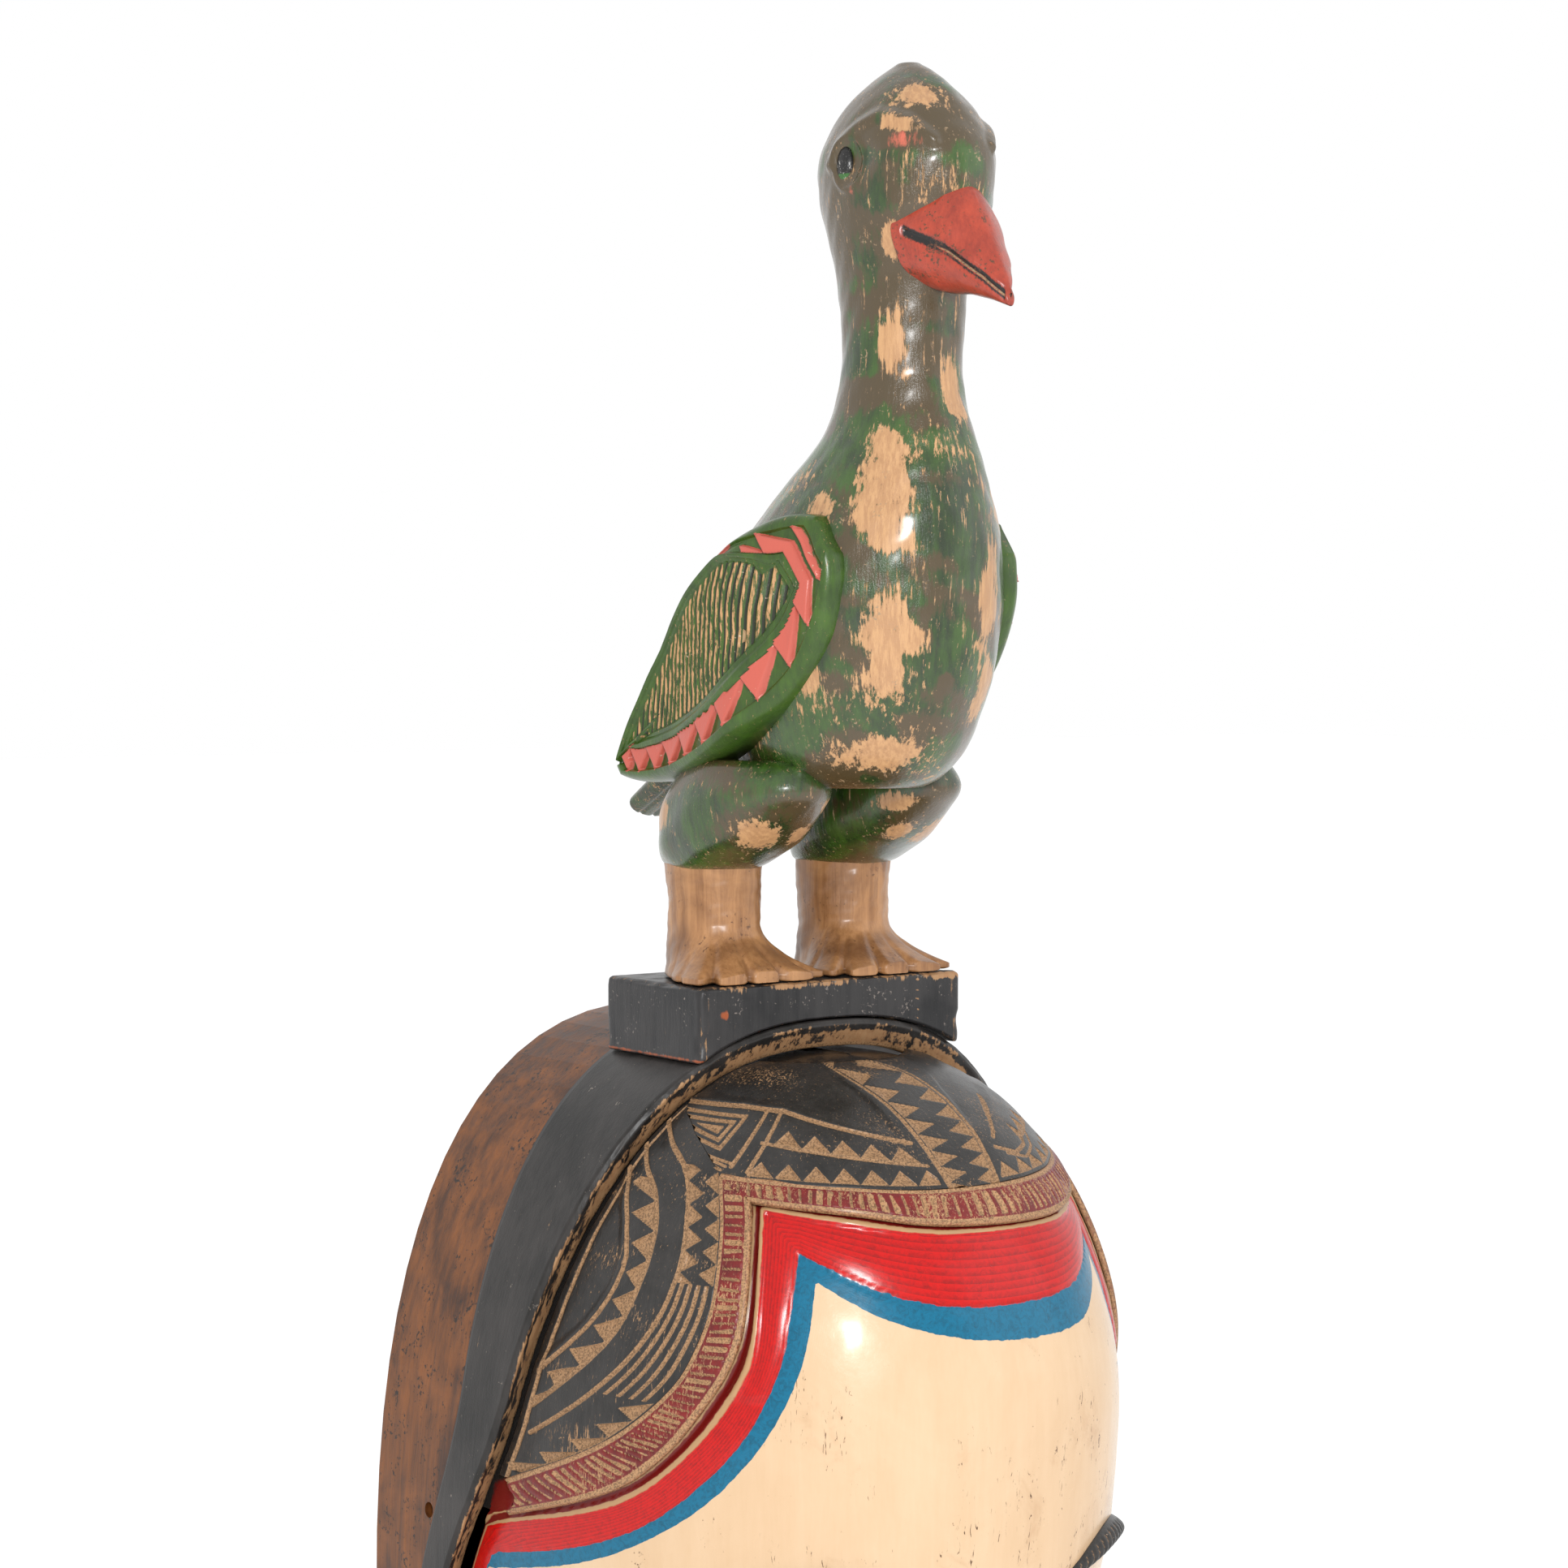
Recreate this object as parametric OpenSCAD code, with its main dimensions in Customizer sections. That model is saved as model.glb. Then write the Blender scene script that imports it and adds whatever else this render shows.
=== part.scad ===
// Carved and painted wooden wall mask with a standing bird as its crest.
// Millimetres. +Z is up, +X is the viewer's right and the face looks toward -Y.
// The origin lies on the wall plane, in the middle of the back rim's top band.

/* [Mask outline] */
// Half of the mask's width at its widest level
mask_half_w = 112; // [95:1:130]
// Height from the widest level up to the mask's top
mask_up = 198; // [175:1:220]
// Height from the widest level down to the chin
mask_down = 135; // [118:1:160]
// Squareness of the upper outline
crown_power = 2.5; // [2:0.1:3]
// Squareness of the lower outline
chin_power = 2.1; // [2:0.1:2.6]

/* [Back rim] */
// Thickness of the rim's wall
rim_wall = 12; // [10:0.5:15]
// Step from the black border in to the rim
rim_inset = 2; // [1:0.5:3]
// Depth of the rim at the top
rim_depth = 50; // [42:1:60]
// Depth of the rim beside the cheeks
rim_depth_low = 28; // [24:1:34]
// Height of the cheeks, where rim and border are shallow, above the widest level
cheek_rise = 25; // [18:1:32]
// Diameter of the tie holes
tie_hole_d = 5; // [4:0.5:6]
// Height of the tie holes above the widest level
tie_hole_rise = 41; // [34:1:48]
// Depth of the tie holes' centres from the wall
tie_hole_back = 33; // [24:1:35]

/* [Border] */
// Thickness of the black border's wall
border_wall = 9; // [8:0.5:12]
// Depth of the border at the crown
border_depth = 55; // [44:1:60]
// Depth of the border beside the cheeks
border_depth_low = 14; // [11:0.5:18]

/* [Face] */
// Distance from the wall to the front of the forehead
forehead_reach = 197; // [175:1:215]
// Distance from the wall to the top end of the forehead dome
crown_reach = 92; // [84:1:100]
// Thickness of the face's wall
face_wall = 11; // [9:0.5:13]
// How far below the crown the forehead is at its fullest
forehead_drop = 118; // [100:1:130]
// Distance from the wall to the chin
chin_reach = 158; // [140:1:175]
// Squareness of the face seen from above
face_power = 2.2; // [2:0.1:2.5]
// Width of a brow ridge
brow_w = 9; // [7:0.5:12]
// Thickness of a brow ridge
brow_t = 5; // [3.5:0.5:7]
// Thickness of an eyelid at its middle
eyelid_t = 7; // [5:0.5:9]
// How far the nose stands out of the face
nose_out = 17; // [12:1:22]
// How far the lips stand out of the face
lips_out = 10; // [7:0.5:13]

/* [Headdress] */
// Thickness of the carved hair panels
hair_t = 3; // [2:0.5:5]
// Width of the hatched band
band_w = 11; // [8:0.5:14]
// Thickness of the hatched band
band_t = 3.5; // [2.5:0.5:5]

/* [Crest block] */
// Width of the block
block_w = 104; // [94:1:118]
// Depth of the block
block_d = 54; // [50:1:56]
// Height of the block above the border
block_h = 13; // [11:1:18]
// Diameter of the dowels under the block
dowel_d = 8; // [6:0.5:9]
// Length of the dowels
dowel_len = 15; // [12:1:16]

/* [Bird] */
// Distance between the two legs' centres
leg_gap = 52; // [48:1:58]
// Radius of a shank
shank_r = 15; // [13:0.5:16]
// Height of a leg from the block to the thigh
leg_h = 37; // [32:1:44]
// Height of a thigh
thigh_h = 25; // [21:1:30]
// Diameter of the leg tenons
tenon_d = 12; // [9:0.5:14]
// Length of the leg tenons
tenon_len = 9; // [7:0.5:10]
// Diameter of the pegs between thigh and body
peg_d = 8; // [6:0.5:9]
// Diameter of the pegs that hold the wings, the tail and the beak
pin_d = 5; // [4:0.5:6]
// Length of a peg on each side of its joint
peg_len = 8; // [6:0.5:10]
// Height of the body from the thighs to the peak of the head
body_h = 224; // [200:1:250]
// Half of the chest's width
chest_half_w = 40; // [36:0.5:44]
// Thickness of a wing
wing_t = 9; // [7:0.5:11]
// Length of a wing
wing_len = 132; // [116:1:144]
// Diameter of the bird's eyes
eye_d = 12; // [10:0.5:14]
// How far the beak stands out of the head
beak_len = 36; // [30:1:44]
// Width of the tail at its end
tail_w = 24; // [20:1:30]

/* [Fits] */
// Gap around dowels, tenons and pegs
fit_gap = 0.15; // [0.1:0.05:0.3]
// Gap between carved faces that lie on each other
seat_gap = 0.4; // [0.3:0.1:0.8]

/* [Hidden] */
$fn = 48;
level = -(mask_up - rim_wall / 2 - rim_inset);
crown_z = level + mask_up;
block_top = crown_z + block_h;
block_front = rim_depth + border_depth - 1;
block_mid = block_front - block_d / 2;
leg_top = block_top + leg_h;
thigh_top = leg_top + thigh_h;
outline_steps = 72;
face_rows = 36;
face_cols = 30;
ring_pts = 28;
row_steps = 3;
far = 400;

// Face levels, as equal thirds from the hairline to the chin.
cheek_z = level + cheek_rise;
hairline_z = level + 0.59 * mask_up;
face_low_z = level - 0.94 * mask_down;
third = (hairline_z - face_low_z) / 3;
brow_z = hairline_z - third;
nose_z = hairline_z - 2 * third;
eye_z = brow_z - 0.42 * third;
mouth_z = nose_z - 0.33 * third;

// ---- Curves ----

// Smooth step from 0 to 1 as t goes from 0 to 1.
function ease(t) = let (c = min(max(t, 0), 1)) c * c * (3 - 2 * c);
// A number raised to a power with its sign kept.
function spow(v, p) = sign(v) * pow(abs(v), p);
// Point on a curve through four neighbouring rows.
function curve(a, b, c, d, t) =
    0.5 * (2 * b + (c - a) * t + (2 * a - 5 * b + 4 * c - d) * t * t
           + (3 * b - a - 3 * c + d) * t * t * t);
// Rows with smooth steps between the given ones.
function smooth(rows, k = row_steps) =
    let (n = len(rows) - 1)
    [for (i = [0 : n - 1], s = [0 : k - 1])
        curve(rows[max(i - 1, 0)], rows[i], rows[i + 1], rows[min(i + 2, n)], s / k),
     rows[n]];

// ---- Mask outline ----

// Exponent of the outline above or below the widest level.
function power_at(s) = s >= 0 ? crown_power : chin_power;
// Half-width of an outline, inset by some amount, at a height.
function half_w(z, inset) =
    let (h = (z >= level ? mask_up : mask_down) - inset,
         p = power_at(z - level),
         t = min(abs(z - level) / h, 1))
    (mask_half_w - inset) * pow(1 - pow(t, p), 1 / p);
// Outline of the mask, inset by some amount, in the XZ plane.
function outline(inset) =
    [for (i = [0 : outline_steps - 1])
        let (a = 360 * i / outline_steps, p = power_at(sin(a)),
             h = (sin(a) >= 0 ? mask_up : mask_down) - inset)
        [(mask_half_w - inset) * spow(cos(a), 2 / p), level + h * spow(sin(a), 2 / p)]];
// Depth of the rim at a height.
function rim_front(z) =
    rim_depth + (rim_depth_low - rim_depth) * ease((cheek_z + 60 - z) / 90);
// Depth of the border's front ridge at a height.
function border_front(z) =
    rim_front(z) + border_depth_low
    + (border_depth - border_depth_low)
      * pow(max(0, (z - cheek_z) / (crown_z - cheek_z)), 1.2);

// ---- Face surface ----

// Inset of the face from the mask outline.
face_inset = border_wall + seat_gap;
face_top_z = level + (mask_up - face_inset) * 0.997;
face_base_z = level - (mask_down - face_inset) * 0.997;
full_z = crown_z - forehead_drop;
chin_z = face_low_z + 27;
chin_end = border_depth_low + rim_depth_low + 40;
// Reach of the lower face: level and distance from the wall.
low_face = [[full_z, forehead_reach], [brow_z, forehead_reach - 4],
            [eye_z, forehead_reach - 16], [nose_z, forehead_reach - 22],
            [mouth_z, forehead_reach - 27], [chin_z, chin_reach]];
// Quarter ellipse from a full reach to an end reach as t goes from 0 to 1.
function rounded(full, end, t) = end + (full - end) * sqrt(1 - pow(min(t, 1), 2));
// Distance from the wall to the middle of the face at a height.
function face_front(z) =
    z >= full_z ? rounded(forehead_reach, crown_reach, (z - full_z) / (face_top_z + 2 - full_z))
    : z >= chin_z ? lookup(z, low_face)
    : rounded(chin_reach, chin_end, (chin_z - z) / (chin_z + 1 - face_base_z));
// Where the face's side wall starts to turn forward.
function face_side(z) = min(border_front(z) - 8, face_front(z) - 30);
// Side angle of the face at a distance from its middle plane.
function angle_of(x, z) = acos(spow(x / half_w(z, face_inset), face_power / 2));
// Point of the face at side angle a, from 0 on the right to 180 on the left.
function face_point(a, z, out = 0) =
    let (w = half_w(z, face_inset - out), s = face_side(z))
    [w * spow(cos(a), 2 / face_power),
     -(s + (face_front(z) + out - s) * pow(sin(a), 2 / face_power)), z];
// Face heights for a surface inside the face's by some amount, closer together at the ends.
function face_z(i, inside) =
    let (a = 90 - 180 * i / face_rows)
    level + ((a >= 0 ? face_top_z - level : level - face_base_z) - inside) * sin(a);
// One row of the face wall from the right rim to the left rim.
function face_row(z, out) =
    let (w = half_w(z, face_inset - out))
    concat([[w, -rim_front(z) - seat_gap, z]],
           [for (j = [0 : face_cols]) face_point(180 * j / face_cols, z, out)],
           [[-w, -rim_front(z) - seat_gap, z]]);

// ---- Solids from grids and rings ----

// Closed solid between two grids of points that face each other.
module slab(front, rear) {
    rows = len(front);
    cols = len(front[0]);
    m = rows * cols;
    function at(i, j) = i * cols + j;
    function quad(a, b, c, d) = [[a, b, c], [a, c, d]];
    faces = concat(
        [for (i = [0 : rows - 2], j = [0 : cols - 2])
            each quad(at(i, j), at(i, j + 1), at(i + 1, j + 1), at(i + 1, j))],
        [for (i = [0 : rows - 2], j = [0 : cols - 2])
            each quad(m + at(i, j), m + at(i + 1, j), m + at(i + 1, j + 1), m + at(i, j + 1))],
        [for (j = [0 : cols - 2])
            each quad(at(0, j), m + at(0, j), m + at(0, j + 1), at(0, j + 1))],
        [for (j = [0 : cols - 2])
            each quad(at(rows - 1, j), at(rows - 1, j + 1),
                      m + at(rows - 1, j + 1), m + at(rows - 1, j))],
        [for (i = [0 : rows - 2])
            each quad(at(i, 0), at(i + 1, 0), m + at(i + 1, 0), m + at(i, 0))],
        [for (i = [0 : rows - 2])
            each quad(at(i, cols - 1), m + at(i, cols - 1),
                      m + at(i + 1, cols - 1), at(i + 1, cols - 1))]);
    polyhedron(points = concat([for (r = front) each r], [for (r = rear) each r]),
               faces = faces, convexity = 8);
}

// Closed solid through rings of points, with flat ends.
module loft(rings) {
    rows = len(rings);
    n = len(rings[0]);
    sides = [for (i = [0 : rows - 2], j = [0 : n - 1])
        let (k = (j + 1) % n, a = i * n + j, b = i * n + k)
        each [[a, a + n, b + n], [a, b + n, b]]];
    first = [for (j = [0 : n - 1]) j];
    last = [for (j = [n - 1 : -1 : 0]) (rows - 1) * n + j];
    polyhedron(points = [for (r = rings) each r],
               faces = concat(sides, [first, last]), convexity = 6);
}

// Level ellipse: row = [height, distance from the wall, half-width, half-depth].
function level_ring(row, x = 0) =
    [for (j = [0 : ring_pts - 1])
        let (a = 360 * j / ring_pts)
        [x + row[2] * cos(a), -row[1] + row[3] * sin(a), row[0]]];

// ---- Mask pieces ----

// Wall that follows the mask outline, from the wall plane forward.
module outline_wall(inset, wall) {
    rotate([90, 0, 0])
        linear_extrude(height = far / 2)
            difference() {
                polygon(outline(inset));
                polygon(outline(inset + wall));
            }
}

// Slice of side profile between two depths, wide enough for the whole mask.
module side_slice(rear, front) {
    low = level - mask_down - 5;
    high = level + mask_up + 5;
    steps = [for (i = [0 : 36]) low + (high - low) * i / 36];
    rotate([90, 0, 90])
        translate([0, 0, -far / 2])
            linear_extrude(height = far)
                polygon(concat([for (z = steps) [-front(z), z]],
                               [for (i = [36 : -1 : 0]) [-rear(steps[i]), steps[i]]]));
}

module back_rim() {
    color("saddlebrown")
        difference() {
            intersection() {
                outline_wall(rim_inset, rim_wall);
                side_slice(function (z) 0, function (z) rim_front(z));
            }
            translate([0, -tie_hole_back, level + tie_hole_rise])
                rotate([0, 90, 0])
                    cylinder(h = far, d = tie_hole_d, center = true);
        }
}

module border() {
    color("#23211f")
        difference() {
            intersection() {
                outline_wall(0, border_wall);
                side_slice(function (z) rim_front(z), function (z) border_front(z));
            }
            dowels(fit_gap);
        }
}

module face_shell() {
    rows = [0 : face_rows];
    color("#efd9b8")
        slab([for (i = rows) face_row(face_z(i, 0), 0)],
             [for (i = rows) face_row(face_z(i, face_wall), -face_wall)]);
}

// Side angle at which the side lobe of the headdress starts, by height.
function lobe_angle(z) = 137 + 36 * ease((hairline_z - 12 - z) / 56);
// Side angle at which the face clears the border's ridge, by height.
function ridge_angle(z) =
    let (s = face_side(z),
         share = (border_front(z) + 2 * seat_gap - s) / (face_front(z) - s))
    180 - asin(pow(min(share, 1), face_power / 2));
// Height of the middle lobe's lower edge at a side angle.
function lobe_z(a) = hairline_z + 31 - 7 * sin(a);
cusp_angle = 140;
band_angle = 7;
hair_top_z = face_top_z - 4;
side_low_z = hairline_z - 66;

// Skin on the face between two side angles and two heights.
module skin(angle_at, z_at, rows, cols, rear, t) {
    grid = function (out)
        [for (i = [0 : rows]) [for (j = [0 : cols])
            let (z = z_at(i / rows, j / cols), a = angle_at(j / cols, z))
            face_point(a, z, out)]];
    slab(grid(rear + t), grid(rear));
}

module hair_center() {
    a0 = 180 - cusp_angle + 0.5;
    a1 = cusp_angle - 0.5;
    color("#2b2723")
        skin(function (u, z) a0 + (a1 - a0) * u,
             function (v, u)
                 let (low = lobe_z(a0 + (a1 - a0) * u) + band_w + seat_gap)
                 hair_top_z + (low - hair_top_z) * v,
             9, 26, seat_gap, hair_t);
}

// Side panel of the headdress on the left; the right one mirrors it.
module hair_side() {
    skin(function (u, z)
             let (a = lobe_angle(z) + band_angle + 0.5)
             a + (ridge_angle(z) - a) * u,
         function (v, u) hair_top_z + (side_low_z + 14 - hair_top_z) * v,
         16, 10, seat_gap, hair_t);
}

module hair_left() {
    color("#2b2723") hair_side();
}

module hair_right() {
    color("#2b2723") mirror([1, 0, 0]) hair_side();
}

// Hatched band along one side lobe, on the left.
module band_side() {
    skin(function (u, z)
             let (a = lobe_angle(z))
             a + (min(a + band_angle, ridge_angle(z)) - a) * u,
         function (v, u) lobe_z(cusp_angle) + (side_low_z - lobe_z(cusp_angle)) * v,
         16, 3, seat_gap, band_t);
}

module hatched_band() {
    a0 = 180 - cusp_angle + 1.5;
    a1 = cusp_angle - 1.5;
    color("#7e2a22") {
        skin(function (u, z) a0 + (a1 - a0) * u,
             function (v, u) lobe_z(a0 + (a1 - a0) * u) + band_w * (1 - v),
             3, 26, seat_gap, band_t);
        band_side();
        mirror([1, 0, 0]) band_side();
    }
}

// Strip along an arch on the face: half-height and thickness swell to the middle.
module arch_strip(a0, a1, z0, rise, half_h, t, steps, lean = 0) {
    rows = [for (i = [0 : 6]) i / 6];
    grid = function (lift)
        [for (v = rows) [for (j = [0 : steps])
            let (u = j / steps, swell = 0.25 + 0.75 * sin(180 * u),
                 a = a0 + (a1 - a0) * u,
                 z = z0 + rise * sin(180 * u) + lean * (u - 0.5)
                     + half_h * swell * (1 - 2 * v))
            face_point(a, z, seat_gap + (lift ? 0.5 + t * swell * sin(180 * v) : 0))]];
    slab(grid(true), grid(false));
}

brow_a0 = 101;
brow_a1 = 142;
brow_drop = 8;
brow_rise = 11;
brow_lean = -4;
eyelid_a0 = 103;
eyelid_a1 = 137;
eyelid_half_h = 0.16 * third;
lips_a0 = 76;
lips_a1 = 104;
lips_rise = 1.5;

module brow_side() {
    arch_strip(brow_a0, brow_a1, brow_z - brow_drop, brow_rise, brow_w / 2, brow_t, 16, brow_lean);
}

module brow_left() {
    color("#2a2320") brow_side();
}

module brow_right() {
    color("#2a2320") mirror([1, 0, 0]) brow_side();
}

module eyelid_side() {
    arch_strip(eyelid_a0, eyelid_a1, eye_z, 0, eyelid_half_h, eyelid_t, 16);
}

module eyelid_left() {
    color("#efd9b8") eyelid_side();
}

module eyelid_right() {
    color("#efd9b8") mirror([1, 0, 0]) eyelid_side();
}

// Nose: rows from the bridge to the tip, as [height, half-width, how far it stands out].
nose_rows = smooth([[brow_z - 6, 6, 2], [brow_z - 0.4 * third, 7, 0.45 * nose_out],
                    [nose_z + 20, 9, 0.8 * nose_out], [nose_z + 8, 14, nose_out],
                    [nose_z + 2, 13, 0.75 * nose_out], [nose_z - 1, 9, 2]]);

module nose() {
    grid = function (lift)
        [for (r = nose_rows) [for (j = [0 : 12])
            let (u = j / 6 - 1, a = angle_of(-r[1] * u, r[0]))
            face_point(a, r[0], seat_gap
                       + (lift ? 0.4 + r[2] * pow(max(0, 1 - abs(u) * abs(u)), 0.6) : 0))]];
    color("#efd9b8")
        slab(grid(true), grid(false));
}

module lips() {
    color("#b8342a") {
        arch_strip(lips_a0, lips_a1, mouth_z + 4, lips_rise, 3.4, lips_out, 14);
        arch_strip(lips_a0 + 1, lips_a1 - 1, mouth_z - 5, -lips_rise, 3.6, 0.9 * lips_out, 14);
    }
}

// ---- Crest pieces ----

// How far the dowels stand forward of the tenons.
dowel_ahead = 14;

// Dowels that hold the block on the border, thickened by a gap for their holes.
module dowels(gap) {
    for (side = [-1, 1])
        translate([side * block_w * 0.3, -block_mid - dowel_ahead,
                   block_top - block_h - dowel_len / 2 - 1])
            cylinder(h = dowel_len + gap, d = dowel_d + 2 * gap);
}

// Tenon of a leg, thickened by a gap for its mortise.
module tenon(z, gap) {
    translate([0, -block_mid, z - tenon_len - gap])
        cylinder(h = 2 * tenon_len + 2 * gap, d = tenon_d + 2 * gap);
}

module crest_block() {
    color("#23211f")
        difference() {
            translate([-block_w / 2, -block_front, crown_z - 14])
                cube([block_w, block_d, block_h + 14]);
            rotate([90, 0, 0])
                linear_extrude(height = far / 2)
                    polygon(outline(-seat_gap));
            dowels(fit_gap);
            for (side = [-1, 1])
                translate([side * leg_gap / 2, 0, 0])
                    tenon(block_top, fit_gap);
        }
}

module crest_dowels() {
    color("burlywood") dowels(0);
}

// Leg: height above the block, shift forward, half-width and half-depth.
leg_rows = [[seat_gap, 1, 23, 26], [4, 1, 22, 25], [9, -1, 17.5, 19],
            [16, -3, shank_r, shank_r + 1], [0.7 * leg_h, -3, shank_r, shank_r + 1],
            [leg_h, -3, shank_r + 1, shank_r + 2]];

module leg_side() {
    union() {
        loft([for (r = smooth(leg_rows)) level_ring(
            [block_top + r[0], block_mid + r[1], r[2], r[3]], -leg_gap / 2)]);
        translate([-leg_gap / 2, 0, 0]) {
            translate([0, -block_mid, block_top - tenon_len])
                cylinder(h = tenon_len + 1, d = tenon_d);
            translate([0, -block_mid, leg_top - 1])
                cylinder(h = tenon_len + 1, d = tenon_d);
        }
    }
}

module leg_left() {
    color("#c99a63") leg_side();
}

module leg_right() {
    color("#c99a63") mirror([1, 0, 0]) leg_side();
}

// Thigh: height above the leg, shift forward, half-width and half-depth.
thigh_rows = [[seat_gap, -2, 17, 19], [0.25 * thigh_h, 4, 19, 25],
              [0.6 * thigh_h, 10, 20, 31], [thigh_h, 13, 20, 32]];
thigh_peg_y = block_mid + 13;

module thigh_side() {
    difference() {
        loft([for (r = smooth(thigh_rows)) level_ring(
            [leg_top + r[0], block_mid + r[1], r[2], r[3]], -leg_gap / 2)]);
        translate([-leg_gap / 2, 0, 0])
            tenon(leg_top, fit_gap);
        pegs(fit_gap);
    }
}

module thigh_left() {
    color("#4c5f2a") thigh_side();
}

module thigh_right() {
    color("#4c5f2a") mirror([1, 0, 0]) thigh_side();
}

// Pegs between the thighs and the body, thickened by a gap for their holes.
module pegs(gap) {
    for (side = [-1, 1])
        translate([side * leg_gap * 0.3, -thigh_peg_y, thigh_top - peg_len])
            cylinder(h = 2 * peg_len + gap, d = peg_d + 2 * gap);
}

module thigh_pegs() {
    color("burlywood") pegs(0);
}

// Body: share of its height, distance from the wall, half-width and half-depth.
body_share = [[0, 110, 0.6, 31], [0.03, 112, 0.76, 37], [0.07, 114, 0.87, 42],
              [0.14, 115, 0.96, 48], [0.22, 116.5, 1, 50.5], [0.29, 118, 1, 50.5],
              [0.39, 127, 0.8, 42], [0.48, 136, 0.56, 28], [0.55, 138.5, 0.475, 21],
              [0.63, 139.5, 0.45, 19.7], [0.69, 139, 0.475, 21.5], [0.755, 140, 0.53, 26.5],
              [0.81, 141, 0.59, 31], [0.875, 141, 0.605, 31.5], [0.93, 141, 0.47, 24.5],
              [0.975, 141.5, 0.26, 13], [1, 142, 0.06, 3]];
body_rows = smooth([for (r = body_share)
    [thigh_top + seat_gap + (body_h - seat_gap) * r[0], r[1], chest_half_w * r[2], r[3]]]);
function body_at(z) =
    [for (k = [0 : 3]) lookup(z, [for (r = body_rows) [r[0], r[k]]])];
head_z = thigh_top + 0.855 * body_h;
beak_z = thigh_top + 0.755 * body_h;
beak_seat = 156;
beak_half_h = 17;
beak_half_w = 19;
eye_y = 137;
eye_seat = 20;
eye_h = 6;
eye_ball_r = 9;
eye_sink = 3;
pin_shift = 2;
tail_pin_more = 4;

// Pins across a joint, thickened by a gap for their holes.
module wing_pins(gap) {
    for (side = [-1, 1])
        translate([side * (wing_bed(wing_pin_y, wing_pin_z) + pin_shift - peg_len), -wing_pin_y,
                   wing_pin_z])
            rotate([0, side * 90, 0])
                translate([0, 0, -gap])
                    cylinder(h = 1.5 * peg_len + 2 * gap, d = pin_d + 2 * gap);
}

module tail_pin(gap) {
    translate([0, -tail_seat - peg_len - tail_pin_more - gap, thigh_top + tail_rise])
        rotate([-90, 0, 0])
            cylinder(h = 2 * peg_len + tail_pin_more + 2 * gap, d = pin_d + 2 * gap);
}

module beak_pin(gap) {
    translate([0, -beak_seat + peg_len + gap, beak_z])
        rotate([90, 0, 0])
            cylinder(h = 2 * peg_len + 2 * gap, d = pin_d + 2 * gap);
}

module wing_pegs() {
    color("burlywood") wing_pins(0);
}

module tail_peg() {
    color("burlywood") tail_pin(0);
}

module beak_peg() {
    color("burlywood") beak_pin(0);
}

module bird_body() {
    color("#4c5f2a")
        difference() {
            loft([for (r = body_rows) level_ring(r)]);
            pegs(fit_gap);
            wing_pins(fit_gap);
            tail_pin(fit_gap);
            beak_pin(fit_gap);
            translate([-far / 2, -far - beak_seat, beak_z - beak_half_h])
                cube([far, far, 2 * beak_half_h]);
            for (side = [-1, 1])
                translate([side * eye_seat, -eye_y, head_z])
                    rotate([0, side * 90, 0])
                        cylinder(h = far, d = eye_d + 2 * fit_gap);
        }
}

// Beak: share of its length, drop of its middle, share of its height and of its width.
beak_share = [[0, 0, 1, 1], [0.25, 1.5, 0.86, 0.84], [0.5, 6, 0.62, 0.6],
              [0.75, 13, 0.38, 0.36], [0.93, 20, 0.17, 0.16], [1, 22.5, 0.06, 0.06]];

module beak() {
    color("#cf5b42")
        difference() {
            loft([for (r = smooth(beak_share)) [for (j = [0 : ring_pts - 1])
            let (a = 360 * j / ring_pts)
            [-beak_half_w * r[3] * cos(a), -(beak_seat + seat_gap + beak_len * r[0]),
             beak_z - r[1] + beak_half_h * r[2] * sin(a) * 0.97]]]);
            beak_pin(fit_gap);
        }
}

module bird_eye(side) {
    color("#2e3326")
        translate([side * (eye_seat + seat_gap), -eye_y, head_z])
            rotate([0, side * 90, 0])
                intersection() {
                    cylinder(h = eye_h, d = eye_d);
                    translate([0, 0, -eye_sink])
                        sphere(r = eye_ball_r);
                }
}

module bird_eye_left() {
    bird_eye(-1);
}

module bird_eye_right() {
    bird_eye(1);
}

// Wing: a leaf in the side plane, its axis falling from the shoulder to the rear tip.
wing_shoulder = [146, thigh_top + 0.3616 * body_h];
wing_fall = 36;
wing_pin_y = 118;
wing_pin_z = thigh_top + 0.2143 * body_h;
wing_low_z = thigh_top + 0.134 * body_h;
wing_inner = 0.84 * chest_half_w;
wing_upper_w = 21;
wing_lower_w = 34;
wing_edge_t = 1;
wing_spread = 16;
wing_tip = 0.015;
// Half-width of the leaf above and below its axis, at a share of its length.
function wing_upper(s) = wing_upper_w * pow(sin(180 * pow(s, 0.8)), 0.6);
function wing_lower(s) = wing_lower_w * pow(sin(180 * pow(s, 0.72)), 0.65);
// Half-width of the body at a distance from the wall and a height.
function body_side(y, z) =
    let (r = body_at(z), t = min(abs(y - r[1]) / (r[3] + wing_spread), 1))
    r[2] * sqrt(1 - t * t);
// Side of the body that a wing lies against, never nearer the middle than its limit.
function wing_bed(y, z) = max(body_side(y, max(z, wing_low_z)), wing_inner) + 2 * seat_gap;

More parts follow.
